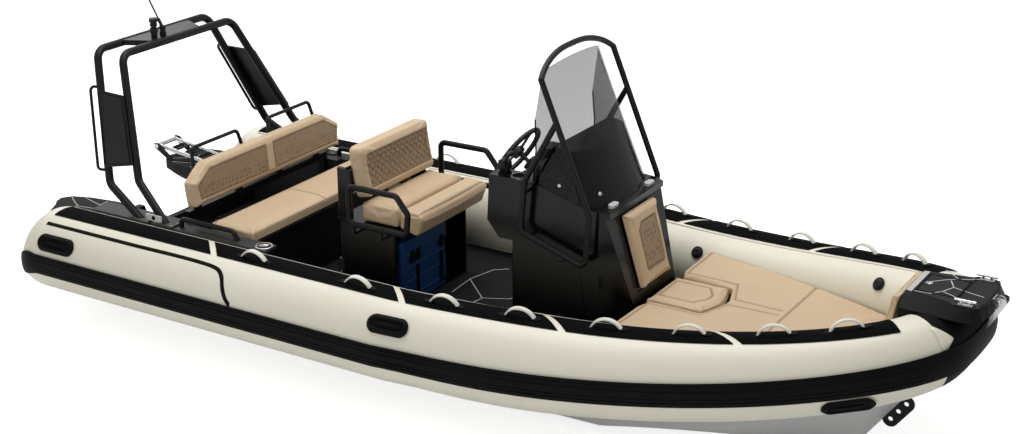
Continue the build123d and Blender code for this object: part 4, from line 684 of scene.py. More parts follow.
def cushion(node, voxel, rest_on=(0, 0, -1), cap=10 * MM):
    """The foam-filled cover that stands for a CAD solid."""
    solid = joined_copy(node)
    obj = new_object(node + "_cover", solid.copy())
    remesh = obj.modifiers.new("voxels", "REMESH")
    remesh.mode = "VOXEL"
    remesh.voxel_size = voxel
    baked(obj)
    start = points_of(obj.data) - START_IN * points_of(obj.data, "normal")
    set_points(obj.data, start)
    blown_cover(obj.data, rest_on, cap)
    smooth = obj.modifiers.new("ease", "SMOOTH")
    smooth.factor, smooth.iterations = 0.5, 3
    subdivide_later(obj)
    baked(obj)
    kept_near(obj.data, solid, rest_on)
    print(f"{obj.name}: {len(obj.data.vertices)} points")
    return obj


# %% Seams and stitches on a cover
SEAM_WIDTH = 11 * MM
SEAM_DEPTH = 5 * MM
STITCH_PITCH = 8 * MM
STITCH_OFF = 7 * MM    # each row of stitches beside its seam
LAY_STEP = 4 * MM


def dense(line):
    """Points every few millimetres along a polyline."""
    found = []
    for a, b in zip(line, line[1:]):
        a, b = Vector(a), Vector(b)
        count = max(1, round((b - a).length / LAY_STEP))
        found += [a.lerp(b, i / count) for i in range(count)]
    return found + [Vector(line[-1])]


def laid(obj, lines, facing):
    """The lines dropped on the cover against a direction: points and normals, row by row."""
    tree = surface_tree(obj.data)
    facing = Vector(facing).normalized()
    rows = []
    for line in lines:
        hits = [tree.ray_cast(p + facing * 0.06, -facing) for p in dense([Vector(q) * MM for q in line])]
        rows.append([(place, normal) for place, normal, _, _ in hits if place is not None])
    return [row for row in rows if len(row) > 2]


def mark(mesh, name, values):
    attribute = mesh.attributes.get(name) or mesh.attributes.new(name, "FLOAT", "POINT")
    attribute.data.foreach_set("value", values.astype(np.float32))


def press_seams(obj, rows, depth=SEAM_DEPTH, width=SEAM_WIDTH):
    """Sinks the cover along the rows, and keeps how near each point is to one as 'seam'."""
    flat = [place for row in rows for place, _ in row]
    tree = KDTree(len(flat))
    for i, place in enumerate(flat):
        tree.insert(place, i)
    tree.balance()
    points, normals = points_of(obj.data), points_of(obj.data, "normal")
    far = np.array([tree.find(p)[2] for p in points])
    sink = depth * np.exp(-(far / (0.5 * width)) ** 2)
    swell = 0.25 * depth * np.exp(-((far - 1.6 * width) / width) ** 2)
    set_points(obj.data, points - normals * (sink - swell)[:, None])
    mark(obj.data, "seam", np.clip(1 - far / width, 0, 1))


def stitched(name, obj, rows, body, off=STITCH_OFF, sides=SIDES):
    """Rows of thread beside the seams, as one mesh."""
    tree = surface_tree(obj.data)
    places, normals, edges = [], [], []
    for row in rows:
        for side in sides:
            first = len(places)
            for i, (place, normal) in enumerate(row):
                ahead, behind = row[min(i + 1, len(row) - 1)][0], row[max(i - 1, 0)][0]
                across = (ahead - behind).cross(normal).normalized()
                near, up, _, _ = tree.find_nearest(place + across * side * off)
                places.append(near + up * 0.3 * MM)
                normals.append(up)
            edges += [(i, i + 1) for i in range(first, len(places) - 1)]
    made = set_out(name, ALONG, stitch, places, normals, THREAD, STITCH_PITCH, edges)
    return dressed(made, THREAD, body)

# %% [markdown]
# ### The nine cushions
# The voxel is finer on the small pads. Panels let into a face are marked by how far inside their outline each
# point lies, so that the material finds a clean edge between mesh points.

# %% Blow up the covers
PADS = {  # node: voxel, the way it rests
    "bench_cushion": (10.0, (0, 0, -1)), "bench_back_cushion": (9.5, (-1, 0, -0.1)),
    "helm_seat_cushion": (9.0, (0, 0, -1)), "helm_back_cushion": (8.0, (-1, 0, -0.17)),
    "helm_bolster": (8.5, (-0.2, 0, -1)), "console_door_cushion": (9.0, (-0.96, 0, -0.28)),
    "bow_pads": (11.0, (0, 0, -1)), "bow_hatch_cushion": (8.5, (0, 0, -1)),
    "bow_back_cushion": (7.5, (0.98, 0, -0.2))}
covers = {}
for node, (voxel, rest_on) in PADS.items():
    covers[node] = cushion(node, voxel * MM, Vector(rest_on).normalized())

# %% Panels let into a face
PANEL_FADE = 12 * MM


def inside_by(points, outline):
    """Signed distance in the plane to a closed outline, positive inside."""
    far = np.full(len(points), 1e9)
    inside = np.zeros(len(points), bool)
    for a, b in zip(outline, outline[1:] + outline[:1]):
        a, b = np.array(a), np.array(b)
        share = np.clip(((points - a) @ (b - a)) / ((b - a) @ (b - a)), 0, 1)
        far = np.minimum(far, np.linalg.norm(points - a - share[:, None] * (b - a), axis=1))
        crosses = (a[1] > points[:, 1]) != (b[1] > points[:, 1])
        slope = (b[0] - a[0]) / (b[1] - a[1] if b[1] != a[1] else 1e-9)
        inside ^= crosses & (points[:, 0] < a[0] + (points[:, 1] - a[1]) * slope)
    return np.where(inside, far, -far)


def inset(obj, outlines, facing, flat, depth):
    """Sinks panels into a face; 'panel' is 1 inside, -1 outside, and runs between across the edge."""
    points, normals = points_of(obj.data), points_of(obj.data, "normal")
    plan = points[:, flat]
    reach = np.max([inside_by(plan, [(a * MM, b * MM) for a, b in outline]) for outline in outlines], axis=0)
    front = normals @ np.array(facing) > 0.4
    share = np.where(front, np.clip(reach / PANEL_FADE, -1, 1), -1)
    set_points(obj.data, points - np.array(facing) * (depth * np.clip(share, 0, 1))[:, None])
    mark(obj.data, "panel", share)


def ring(outline, level):
    """A closed line through an outline at a level, as x, y, z from (y, z) or (x, y) pairs."""
    return [level(*p) for p in outline + outline[:1]]


# %% Sew one pattern: seams are laid and pressed, and the stitches are noted for later
sewn = []


def sew(name, node, lines, facing, depth=SEAM_DEPTH, *how):
    """Presses lines into a cover; 'how' is the stitches' offset and sides."""
    rows = laid(covers[node], lines, facing)
    press_seams(covers[node], rows, depth)
    sewn.append((name, node, rows, *how))


# %% Bench: a seam along the back, one across the middle; two panels in the backrest
BENCH_TOP = 676
TOP = (0, 0, 1)
sew("bench_seat_stitches", "bench_cushion", [[(-1450, -672, BENCH_TOP), (-1450, 672, BENCH_TOP)],
                                             [(-1450, 0, BENCH_TOP), (-1160, 0, BENCH_TOP)]], TOP)
half_panel = [(36, 783), (640, 783), (652, 868), (535, 942), (36, 942)]
outlines = [half_panel, [(-y, z) for y, z in half_panel[::-1]]]
BACK_FACE = (0.996, 0, 0.091)
inset(covers["bench_back_cushion"], outlines, BACK_FACE, [1, 2], 2.5 * MM)
sew("bench_back_stitches", "bench_back_cushion", [ring(o, lambda y, z: (-1560, y, z)) for o in outlines],
    BACK_FACE, 3.5 * MM)

# %% Helm seat: a quilted panel sunk in the backrest, plain seat and bolster with welts
HELM_FACE, HELM_X = (0.985, 0, 0.174), -600
recess = [(-295, 928), (295, 928), (295, 1121), (-295, 1121)]
inset(covers["helm_back_cushion"], [recess], HELM_FACE, [1, 2], 6.0 * MM)
QUILT = 46.0
QUILT_EDGE = 4         # the quilting stops this far inside the recess


def lattice(outline, pitch):
    """Two sets of slanted lines across a rectangle of (y, z)."""
    (y0, z0), (y1, z1) = outline[0], outline[2]
    rise = z1 - z0
    lines = []
    for lean in (-1, 1):
        start = y0 - rise
        while start < y1 + rise:
            a, b = (start, z0 if lean > 0 else z1), (start + rise, z1 if lean > 0 else z0)
            low, high = max(a[0], y0 + QUILT_EDGE), min(b[0], y1 - QUILT_EDGE)
            if high - low > 10:
                lines.append([(HELM_X, y, a[1] + (b[1] - a[1]) * (y - a[0]) / rise) for y in (low, high)])
            start += pitch
    return lines


rim_rows = laid(covers["helm_back_cushion"], [ring(recess, lambda y, z: (HELM_X, y, z))], HELM_FACE)
quilt_rows = laid(covers["helm_back_cushion"], lattice(recess, QUILT), HELM_FACE)
press_seams(covers["helm_back_cushion"], rim_rows + quilt_rows, 3.0 * MM, 8 * MM)
sewn.append(("helm_back_stitches", "helm_back_cushion", quilt_rows, 0.0, (1,)))
sew("helm_seat_stitches", "helm_seat_cushion", [[(-625, -335, 852), (-625, 335, 852)]], TOP)
welt = [(-380, -335, 852), (-260, -335, 852), (-260, 335, 852), (-380, 335, 852)]
sew("bolster_stitches", "helm_bolster", [welt], TOP, 2.5 * MM, 5 * MM, (1,))

# %% Console door cushion: a narrow recess with its upper starboard corner cut
DOOR_FACE = (0.9604, 0, 0.2785)
door_slot = [(-100, 705), (90, 705), (98, 735), (98, 965), (-60, 965), (-100, 925)]
inset(covers["console_door_cushion"], [door_slot], DOOR_FACE, [1, 2], 2.0 * MM)
sew("door_stitches", "console_door_cushion", [ring(door_slot, lambda y, z: (1000, y, z))], DOOR_FACE,
    3.0 * MM)

# %% Bow cushions: seams follow the outlines; the hatch has its own inner line
PAD_Z = 588
side_line = [(1112, 240), (1102, 590), (1660, 480), (1752, 458)]
front_half = [(1790, 440), (2060, 372), (2240, 300)]
front_line = front_half + [(x, -y) for x, y in front_half[::-1]] + front_half[:1]
round_hatch = [(1112, 240), (1410, 236), (1482, 40), (1752, 30)]
lines = [[(x, side * y, PAD_Z) for x, y in line] for line in (side_line, round_hatch) for side in SIDES]
lines.append([(x, y, PAD_Z) for x, y in front_line])
sew("bow_pad_stitches", "bow_pads", lines, TOP)
hatch_line = [(1112, -110), (1112, 110), (1310, 110), (1360, 30), (1360, -30), (1310, -110), (1112, -110)]
sew("bow_hatch_stitches", "bow_hatch_cushion", [[(x, y, PAD_Z) for x, y in hatch_line]], TOP)
arched = [(2400, -165, 735), (2400, -165, 890), (2400, 165, 890), (2400, 165, 735)]
sew("bow_back_stitches", "bow_back_cushion", [arched], (-1, 0, 0.2), 3 * MM, 5 * MM, (1,))

# %% Dress the covers and run the stitches
for node, obj in covers.items():
    for name, default in (("seam", 0.0), ("panel", -1.0)):
        if name not in obj.data.attributes:
            mark(obj.data, name, np.full(len(obj.data.vertices), default))
    dressed(obj, COVER, BODY_OF[node])
    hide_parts(node)
for name, node, rows, *how in sewn:
    made = stitched(name, covers[node], rows, BODY_OF[node], *how)
    print(f"{name}: {len(made.data.polygons)} faces")

# %% [markdown]
# ## Where the tube's skin is
# The strips, grips and stripes lie on the buoyancy tubes, so they need the skin's place and normal. The tube
# is a cylinder to midships; past that its centreline curves in and rises, and it grows thinner. The same few
# sizes that drive the CAD model give it here, in millimetres.

# %% Points on the tube
TUBE_R, TUBE_Y, TUBE_Z, TUBE_AFT = 246.0, 926.0, 410.0, -2400.0
BOW_X, SHEER_X, SHEER_R, BOW_TUBE_R = 2628.0, 480.0, 8200.0, 188.0
TAPER_FROM, NOSE_R, NOSE_SHARE = 800.0, 176.0, 0.28


def tube_centre(x):
    """Centre (y, z) and radius at a station x."""
    if x <= 0:
        return TUBE_Y, TUBE_Z, TUBE_R
    share = (1 - min(1.0, x / BOW_X) ** 1.17) ** (1 / 3)
    rise = max(0.0, x - SHEER_X)
    radius = TUBE_R - (TUBE_R - BOW_TUBE_R) * max(0.0, (x - TAPER_FROM) / (BOW_X - TAPER_FROM))
    nose = max(0.0, 1 - share / (1.4 * NOSE_SHARE))
    return TUBE_Y * share, TUBE_Z + rise * rise / (2 * SHEER_R), radius - (BOW_TUBE_R - NOSE_R) * nose ** 1.5


def on_tube(x, side, angle, lift=0.0):
    """A point on the skin, its normal and the tube's direction, at an angle in degrees up from outboard."""
    y, z, radius = tube_centre(x)
    if x <= 0:
        along = Vector((1, 0, 0))
    else:
        y0, z0, _ = tube_centre(x - 4)
        y1, z1, _ = tube_centre(min(BOW_X - 0.5, x + 4))
        along = Vector((min(BOW_X - 0.5, x + 4) - x + 4, side * (y1 - y0), z1 - z0)).normalized()
    up = Vector((0, 0, 1))
    outboard = (along.cross(up) if side < 0 else up.cross(along)).normalized()
    tilt = (up - along * up.dot(along)).normalized()
    out = outboard * cos(radians(angle)) + tilt * sin(radians(angle))
    return (Vector((x, side * y, z)) + out * (radius + lift)) * MM, out, along


# %% Bands on the tube
def band_mesh(name, rows, thick):
    """A closed strip from rows of (points across, normals); it is thick outwards and its edges are shut."""
    work = bmesh.new()
    top, low = [], []
    for places, normals in rows:
        low.append([work.verts.new(p) for p in places])
        top.append([work.verts.new(p + n * thick) for p, n in zip(places, normals)])
    across, along = len(rows[0][0]), len(rows)
    for i in range(along - 1):
        for j in range(across - 1):
            work.faces.new((top[i][j], top[i + 1][j], top[i + 1][j + 1], top[i][j + 1]))
            work.faces.new((low[i][j], low[i][j + 1], low[i + 1][j + 1], low[i + 1][j]))
        for j in (0, across - 1):
            work.faces.new((top[i][j], low[i][j], low[i + 1][j], top[i + 1][j]))
    for i in (0, along - 1):
        for j in range(across - 1):
            work.faces.new((top[i][j], top[i][j + 1], low[i][j + 1], low[i][j]))
    bmesh.ops.recalc_face_normals(work, faces=work.faces)
    return mesh_from(work, name)


def tube_band(side, stations, thick, lift=0.4, across=2):
    """A band through stations (x, low angle, high angle) on the skin, in mm and degrees."""
    rows = []
    for x, low, high in stations:
        spots = [on_tube(x, side, low + (high - low) * j / across, lift) for j in range(across + 1)]
        rows.append(([s[0] for s in spots], [s[1] for s in spots]))
    return band_mesh("band", rows, thick * MM)


def between(a, b, step):
    """Values from a to b, both kept, at most a step apart."""
    count = max(1, ceil(abs(b - a) / step))
    return [a + (b - a) * i / count for i in range(count + 1)]


# %% [markdown]
# ### Ribbon and strake
# A black ribbon runs forward from the stern, high on the tube, and sweeps down into the rub strake. The
# strake is a moulded section with fine ridges along it.

# %% The black ribbon
RIBBON_HALF = 2.6  # degrees, about 22 mm wide on the tube
RIBBON = [(-2382, 56), (-1700, 56), (-1204, 56), (-1120, 54.5), (-1069, 51), (-1030, 42),
          (-1002, 30), (-972, 19), (-935, 11)]  # x and angle


def smooth_between(rows, step):
    """A monotone path through (x, angle) rows, sampled every few millimetres of x."""
    xs, values = [r[0] for r in rows], [r[1] for r in rows]
    slopes = [(values[i + 1] - values[i]) / (xs[i + 1] - xs[i]) for i in range(len(xs) - 1)]
    ends = [slopes[0]] + [0.5 * (a + b) for a, b in zip(slopes, slopes[1:])] + [slopes[-1]]
    found = []
    for i in range(len(xs) - 1):
        h = xs[i + 1] - xs[i]
        for x in between(xs[i], xs[i + 1], step)[:-1]:
            t = (x - xs[i]) / h
            value = (2 * t ** 3 - 3 * t ** 2 + 1) * values[i] + (3 * t ** 2 - 2 * t ** 3) * values[i + 1]
            slope = (t ** 3 - 2 * t ** 2 + t) * ends[i] + (t ** 3 - t ** 2) * ends[i + 1]
            found.append((x, value + h * slope))
    return found + [(xs[-1], values[-1])]


ribbons = []
for side in SIDES:
    path = smooth_between(RIBBON, 8)
    stations = []
    for i, (x, angle) in enumerate(path):
        (xa, a), (xb, b) = path[max(0, i - 1)], path[min(len(path) - 1, i + 1)]
        steep = hypot(1, radians(b - a) * TUBE_R / max(1e-6, xb - xa))
        half = RIBBON_HALF * min(5.0, 1.25 * steep - 0.25)
        stations.append((x, angle - half, angle + half))
    ribbons.append(tube_band(side, stations, 0.9))
ribbon = piece("tube_ribbons", ribbons, RUBBER, "rubber_black", smooth=True)
print("ribbon", len(ribbon.data.polygons))

# %% Ridges along the strake
STRAKE_OUT = 12.2  # mm, the strake's outer skin
STRAKE_LOW, STRAKE_HIGH = (-17.5, 4.5), (10.0, 16.0)  # each edge's angle, and how far it rises to the nose
RIDGES = ((0.18, 3.0), (0.34, 2.2), (0.66, 2.2), (0.84, 3.0))  # share of the strake's height, height in mm
RIDGE_HALF, RIDGE_ROOT = 0.55, 0.4  # half its width in degrees, and how deep its root is set in mm


def strake_angle(x, height):
    """The angle at a share of the strake's height."""
    share = (1 - tube_centre(x)[0] / TUBE_Y) / (1 - NOSE_SHARE)
    low, high = (angle + rise * share for angle, rise in (STRAKE_LOW, STRAKE_HIGH))
    return low + (high - low) * height


ridges = []
for side in SIDES:
    stations = between(TUBE_AFT, 0, 300)[:-1] + between(0, 2000, 45)[:-1] + between(2000, 2530, 18)
    for share, high in RIDGES:
        rows = [[x] + [strake_angle(x, share) + half for half in (-RIDGE_HALF, RIDGE_HALF)] for x in stations]
        ridges.append(tube_band(side, rows, high, STRAKE_OUT - RIDGE_ROOT, 1))
piece("strake_ridges", ridges, RUBBER, "rubber_black", smooth=True)
print("ridges", len(ridges))

# %% Fabric points that lap onto the nose piece
# x, low angle and high angle
LAP = ((2572, 18, 70), (2580, 24, 63), (2587, 29, 55), (2593, 33, 47), (2598, 36.5, 39))
laps = both_sides(lambda side: tube_band(side, LAP, 1.6, 2.4, 4))
piece("bow_fabric_points", laps, FABRIC, "tube_cream", smooth=True)

# %% [markdown]
# ### Grips
# Each grip is one rubber moulding: an oval flange with a raised rim, a shallow dish inside it, and a bar
# across the dish for the hand. It is lofted from rings of an oval, and the bar is a bent capsule.

# %% Model the grips
GRIPS = ((-2244, 29, 285), (63, 37, 245), (2280, -33, 260))  # x, angle, length in mm
GRIP_WIDTH = 105.0
GRIP_PROFILE = ((0.0, 0.0), (0.0, 5.0), (4.0, 8.0), (9.0, 9.5), (13.0, 15.5), (19.0, 17.5), (25.0, 15.0),
                (29.0, 6.0), (34.0, 3.0), (46.0, 2.5))  # inset from the edge, height
BAR_SHARE, BAR_WIDTH, BAR_RISE = 0.66, 22.0, 17.5


def grip_meshes(x, side, angle, length):
    """Two skins: the flange with its dish, and the bar across it."""
    base, out, along = on_tube(x, side, angle, 2.0)
    across = out.cross(along)
    tube_r = tube_centre(x)[2]

    def lay(u, v, h):
        """A point of the grip, bent to the tube across it."""
        drop = tube_r - sqrt(max(0.0, tube_r * tube_r - v * v))
        return base / MM + along * u + across * v + out * (h - drop)

    half, radius = length / 2 - GRIP_WIDTH / 2, GRIP_WIDTH / 2
    flange = []
    for inset_by, height in GRIP_PROFILE:
        r = radius - inset_by
        flange.append([lay(half * (1 if cos(a) > 0 else -1) + r * cos(a), r * sin(a), height)
                       for a in circle(40, 0.5)])
    bar_half = BAR_SHARE * length / 2
    sections = []
    for u in between(-bar_half, bar_half, 10):
        lift = BAR_RISE - 9.0 - 8.0 * (abs(u) / bar_half) ** 6
        sections.append([lay(u, BAR_WIDTH / 2 * cos(a), lift + 6.0 * sin(a)) for a in circle(10)])
    return [closed_mesh("flange", flange), closed_mesh("bar", sections)]


grips = joined("side_grips", [mesh for x, angle, length in GRIPS for side in SIDES
                              for mesh in grip_meshes(x, side, angle, length)])
subdivide_later(grips)
dressed(baked(grips), RUBBER, "boat")
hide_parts("grip_patches")
print("grips", len(grips.data.polygons))

# %% [markdown]
# ### Valves and handle pads
# An inflation valve is a screw cap with a knurled edge in a moulded boot. Each strap handle is held down at
# its ends by a thin black pad glued to the tread.

# %% Valve caps
VALVE_XS, VALVE_ANGLE, CAP_LIFT = (1034, 2225), 147.0, 8.3
# radius and height
CAP_PROFILE = ((27, 0.0), (27, 1.5), (24, 3.0), (24, 8.0), (21, 10.0), (12, 10.5), (11, 8.5))
KNURLED, KNURL = (2.5, 8.5), 0.8  # the heights that are knurled, and the knurl's depth
valve_caps = []
for x in VALVE_XS:
    for side in SIDES:
        base, out, along = on_tube(x, side, VALVE_ANGLE, CAP_LIFT)
        across = out.cross(along)
        rings = []
        for radius, height in CAP_PROFILE:
            knurl = KNURL if KNURLED[0] < height < KNURLED[1] else 0.0
            rings.append([base / MM + out * height
                          + (along * cos(a) + across * sin(a)) * (radius + (knurl if i % 2 else -knurl))
                          for i, a in enumerate(circle(36))])
        valve_caps.append(closed_mesh("cap", rings))
piece("valve_caps", valve_caps, PLASTIC, "plastic_black")

# %% Handle pads
HANDLE_XS = (-923, -224, 296, 721, 1184, 1603, 2004, 2322)
HANDLE_ANGLE, HANDLE_TURN, HANDLE_HALF = 83, 9, 88  # angle aft, its turn towards the bow, half the span
PAD_LONG, PAD_WIDE, PAD_LIFT = 30.0, 19.0, 5.2
feet = []
for x in HANDLE_XS:
    for side in SIDES:
        angle = HANDLE_ANGLE + HANDLE_TURN * max(0.0, x) / HANDLE_XS[-1]
        for end in (-1, 1):
            base, out, along = on_tube(x, side, angle, PAD_LIFT)
            across = out.cross(along)
            middle = base + along * end * HANDLE_HALF * MM
            rows = []
            for share in between(-1, 1, 0.25):
                wide = PAD_WIDE * sqrt(max(0.12, 1 - share ** 2 * 0.9))
                spots = [middle + (along * share * PAD_LONG + across * v * wide) * MM -
                         out * (wide * wide * v * v / (2 * TUBE_R) * MM) for v in (-1, -0.5, 0, 0.5, 1)]
                rows.append((spots, [out] * 5))
            feet.append(band_mesh("pad", rows, 2.5 * MM))
piece("handle_pads", feet, RUBBER, "rubber_black", smooth=True)
print("valve caps", len(valve_caps), "handle pads", len(feet))

# %% [markdown]
# ## Lines in the deck foam
# The foam is cut in long facets, and the cuts show a white underlayer. Each cut is a thin raised strip along
# a polyline, mitred at its corners, lying on the top it belongs to. The platforms' pattern is mirrored.

# %% White lines
LINE_WIDTH, LINE_THICK = 5.5, 0.9


def flat_line(line, z):
    """A strip along (x, y) points at a height, in mm."""
    rows = []
    for i, (x, y) in enumerate(line):
        a = Vector(line[max(i - 1, 0)])
        b = Vector(line[min(i + 1, len(line) - 1)])
        side = (b - a).orthogonal().normalized() * LINE_WIDTH / 2
        edges = [Vector((x + s * side.x, y + s * side.y, z)) * MM for s in (-1, 1)]
        rows.append((edges, [Vector((0, 0, 1))] * 2))
    return band_mesh("line", rows, LINE_THICK * MM)


def both(lines):
    return lines + [[(x, -y) for x, y in line] for line in lines]


DECK_Z, PLATFORM_Z, STEP_Z = 235.3, 499.3, 927.8
deck_lines = [
    [(-299, 46), (-315, 265), (-272, 455), (-198, 518)], [(-315, 265), (-102, 63), (38, 131), (160, 420)],
    [(-102, 63), (-113, -28), (-240, -180), (-345, -210)], [(-113, -28), (40, -150), (180, -160)],
    [(40, -150), (70, -420), (200, -560)], [(-240, -180), (-230, -420), (-90, -600)],
    [(160, 420), (330, 500), (640, 470), (1010, 560)], [(160, 420), (60, 560)],
    [(70, -420), (330, -520), (640, -440), (1010, -560)],
    [(-1130, 200), (-960, 330), (-860, 560)], [(-960, 330), (-840, 300)],
    [(-1130, -60), (-980, -150), (-840, -120)], [(-980, -150), (-960, -400), (-850, -560)]]
platform_lines = [
    [(-2819, 444), (-2740, 500), (-2669, 543)], [(-2749, 402), (-2640, 440), (-2565, 459)],
    [(-2574, 380), (-2565, 459), (-2531, 521)], [(-2565, 459), (-2430, 440), (-2345, 400)],
    [(-2669, 543), (-2531, 521), (-2430, 560), (-2345, 640)], [(-2669, 543), (-2690, 610)]]
step_lines = [
    [(2483, -13), (2538, 45), (2583, 92), (2680, 150), (2771, 206)], [(2530, 200), (2556, 179), (2621, 115)],
    [(2592, 82), (2631, 4), (2600, -70), (2556, -127)], [(2631, 4), (2700, -18), (2791, -40)],
    [(2556, -127), (2480, -134)], [(2600, -70), (2700, -120), (2740, -140)]]
LID = (2489, 2678, 107)   # the foam on the anchor lid: aft x, front x, half-breadth
LID_GAP = 12              # bare joint between the lid's foam and the step's
SPLITS = 24               # samples along each straight part of a cut


def zone(x, y):
    """Which foam a point lies on: the lid's, the joint's (none) or the step's."""
    past = max(LID[0] - x, x - LID[1], abs(y) - LID[2])
    return "lid" if past < 0 else "joint" if past < LID_GAP else "step"


runs = {"lid": [], "joint": [], "step": []}
for line in step_lines:  # a cut that crosses the lid's edge is split, so that the lid carries its own part
    run, was = [], None
    for a, b in zip(line, line[1:]):
        for i in range(SPLITS + 1):
            p = (a[0] + (b[0] - a[0]) * i / SPLITS, a[1] + (b[1] - a[1]) * i / SPLITS)
            now = zone(*p)
            if now != was and run:
                runs[was].append(run)
                run = []
            run.append(p)
            was = now
    runs[was].append(run)


def no_doubles(line):
    """The line without points that are closer than 2 mm to the one before."""
    kept = [line[0]]
    for p in line[1:]:
        if hypot(p[0] - kept[-1][0], p[1] - kept[-1][1]) > 2:
            kept.append(p)
    return kept


def lines_object(name, lines, z, body):
    cleaned = [no_doubles(line) for line in lines]
    piece(name, [flat_line(line, z) for line in cleaned if len(line) > 1], WHITE_LINE, "deck_eva", body)


lines_object("deck_cut_lines", deck_lines, DECK_Z, "boat")
lines_object("platform_cut_lines", both(platform_lines), PLATFORM_Z, "boat")
lines_object("step_cut_lines", runs["step"], STEP_Z, "boat")
lines_object("lid_cut_lines", runs["lid"], STEP_Z, "anchor_hatch")
print("cut lines", len(deck_lines), len(platform_lines) * 2, len(runs["step"]), len(runs["lid"]))

# %% The thin cream piping inside the tread panels
PIPE_ANGLE, PIPE_HALF = 109.5, 0.55
PIPE_END, PIPE_TURN = 2440, 5  # its front end, and how far it has turned inboard there, in degrees
stations = []
for x in between(-2380, 0, 300) + between(0, PIPE_END, 40)[1:]:
    middle = PIPE_ANGLE + PIPE_TURN * max(0.0, x) / PIPE_END
    stations.append((x, middle - PIPE_HALF, middle + PIPE_HALF))
pipes = both_sides(lambda side: tube_band(side, stations, 3.5, 0.2, 1))
piece("tread_piping", pipes, CREAM, "rubber_cream", smooth=True)

# %% [markdown]
# ## Small hard parts
# Four shapes make nearly every fitting: a turned piece, a flat slab with a chamfered edge, a bar along a
# path, and a screw set out by the repeat tree. Sizes are in millimetres.

# %% Shapes for small parts
def axes_on(normal, upwards=(0, 0, 1)):
    """Right, up and out directions on a face."""
    out = Vector(normal).normalized()
    right = Vector(upwards).cross(out)
    if right.length < 0.05:
        right = Vector((0, 1, 0)).cross(out)
    right.normalize()
    return right, out.cross(right), out


def turned(place, normal, rows, sides=24):
    """A lathed piece from (radius, height) rows, standing on a place along a normal."""
    right, up, out = axes_on(normal)
    return closed_mesh("turned", [[Vector(place) + (right * cos(a) + up * sin(a)) * r + out * h
                                   for a in circle(sides)] for r, h in rows])


def shrunk(outline, by):
    """A counterclockwise outline moved in by a distance, its corners mitred."""
    points, moved = [Vector(p) for p in outline], []
    for i, p in enumerate(points):
        a, b = (p - points[i - 1]).normalized(), (points[(i + 1) % len(points)] - p).normalized()
        moved.append(p + Vector((-a.y - b.y, a.x + b.x)) * by / max(0.3, 1 + a.dot(b)))
    return moved


def slab(outline, place, normal, thick, edge=1.0, upwards=(0, 0, 1)):
    """A flat piece with a chamfered edge; the outline is (right, up) on the face, counterclockwise."""
    right, up, out = axes_on(normal, upwards)

    def ring_at(points, height):
        return [Vector(place) + right * u + up * v + out * height for u, v in points]

    return closed_mesh("slab", [ring_at(outline, 0.0), ring_at(outline, thick - edge),
                                ring_at(shrunk(outline, edge), thick)])


def rounded(width, height, radius, steps=5):
    """Outline of a rounded rectangle round its middle, counterclockwise."""
    corners = ((1, 1, 0), (-1, 1, 90), (-1, -1, 180), (1, -1, 270))
    return [((width / 2 - radius) * sx + radius * cos(radians(a + 90 * k / steps)),
             (height / 2 - radius) * sy + radius * sin(radians(a + 90 * k / steps)))
            for sx, sy, a in corners for k in range(steps + 1)]


def bar(path, radius, sides=10):
    """A round bar or hose along points."""
    points, rings, up = [Vector(p) for p in path], [], None
    for i, p in enumerate(points):
        along = (points[min(i + 1, len(points) - 1)] - points[max(i - 1, 0)]).normalized()
        up = along.orthogonal() if up is None else up - along * up.dot(along)
        up.normalize()
        side = along.cross(up)
        rings.append([p + (up * cos(a) + side * sin(a)) * radius for a in circle(sides)])
    return closed_mesh("bar", rings)


SCREWS = {}  # body: list of (place in mm, normal), all set out in one go at the end


def screws_at(body, spots, normal):
    SCREWS.setdefault(body, []).extend((Vector(p), Vector(normal).normalized()) for p in spots)


print("small parts ready")

# %% [markdown]
# ## Bow step
# The step is a satin moulding. Foam sheets cover its top in three pieces, and the lid carries its own. A
# light anti-slip strip crosses its aft edge, and each cleat sits in a shallow oval dish.

# %% Foam on the step and its lid
STEP_TOP_Z, FOAM_T = 925.0, 2.5
FLAT = (0, 0, 1)


def foam_sheet(points, height=FOAM_T, edge=0.8):
    """A sheet on the step from (x, y) points, counterclockwise from above."""
    right, up, _ = axes_on(FLAT)
    return slab([(Vector((x, y, 0)).dot(right), Vector((x, y, 0)).dot(up)) for x, y in points],
                (0, 0, STEP_TOP_Z + 0.1), FLAT, height, edge)


side_sheet = [(2474, 119), (2690, 119), (2690, 184), (2474, 140)]
sheets = [foam_sheet(side_sheet), foam_sheet([(x, -y) for x, y in side_sheet[::-1]])]
front = [(2702, -186.6), (2772, -203), (2797, -175), (2818, -101)]
sheets.append(foam_sheet(front + [(x, -y) for x, y in front[::-1]]))
piece("step_foam", sheets, STEP_FOAM, "deck_eva")
aft, fore, half = LID
lid_sheet = foam_sheet([(aft, -half), (fore, -half), (fore, half), (aft, half)])
piece("lid_foam", [lid_sheet], STEP_FOAM, "deck_eva", "anchor_hatch")
strip = foam_sheet([(2442, -136), (2470, -142), (2470, 142), (2442, 136)], 3.2)
piece("step_strip", [strip], WHITE_LINE, "deck_eva")

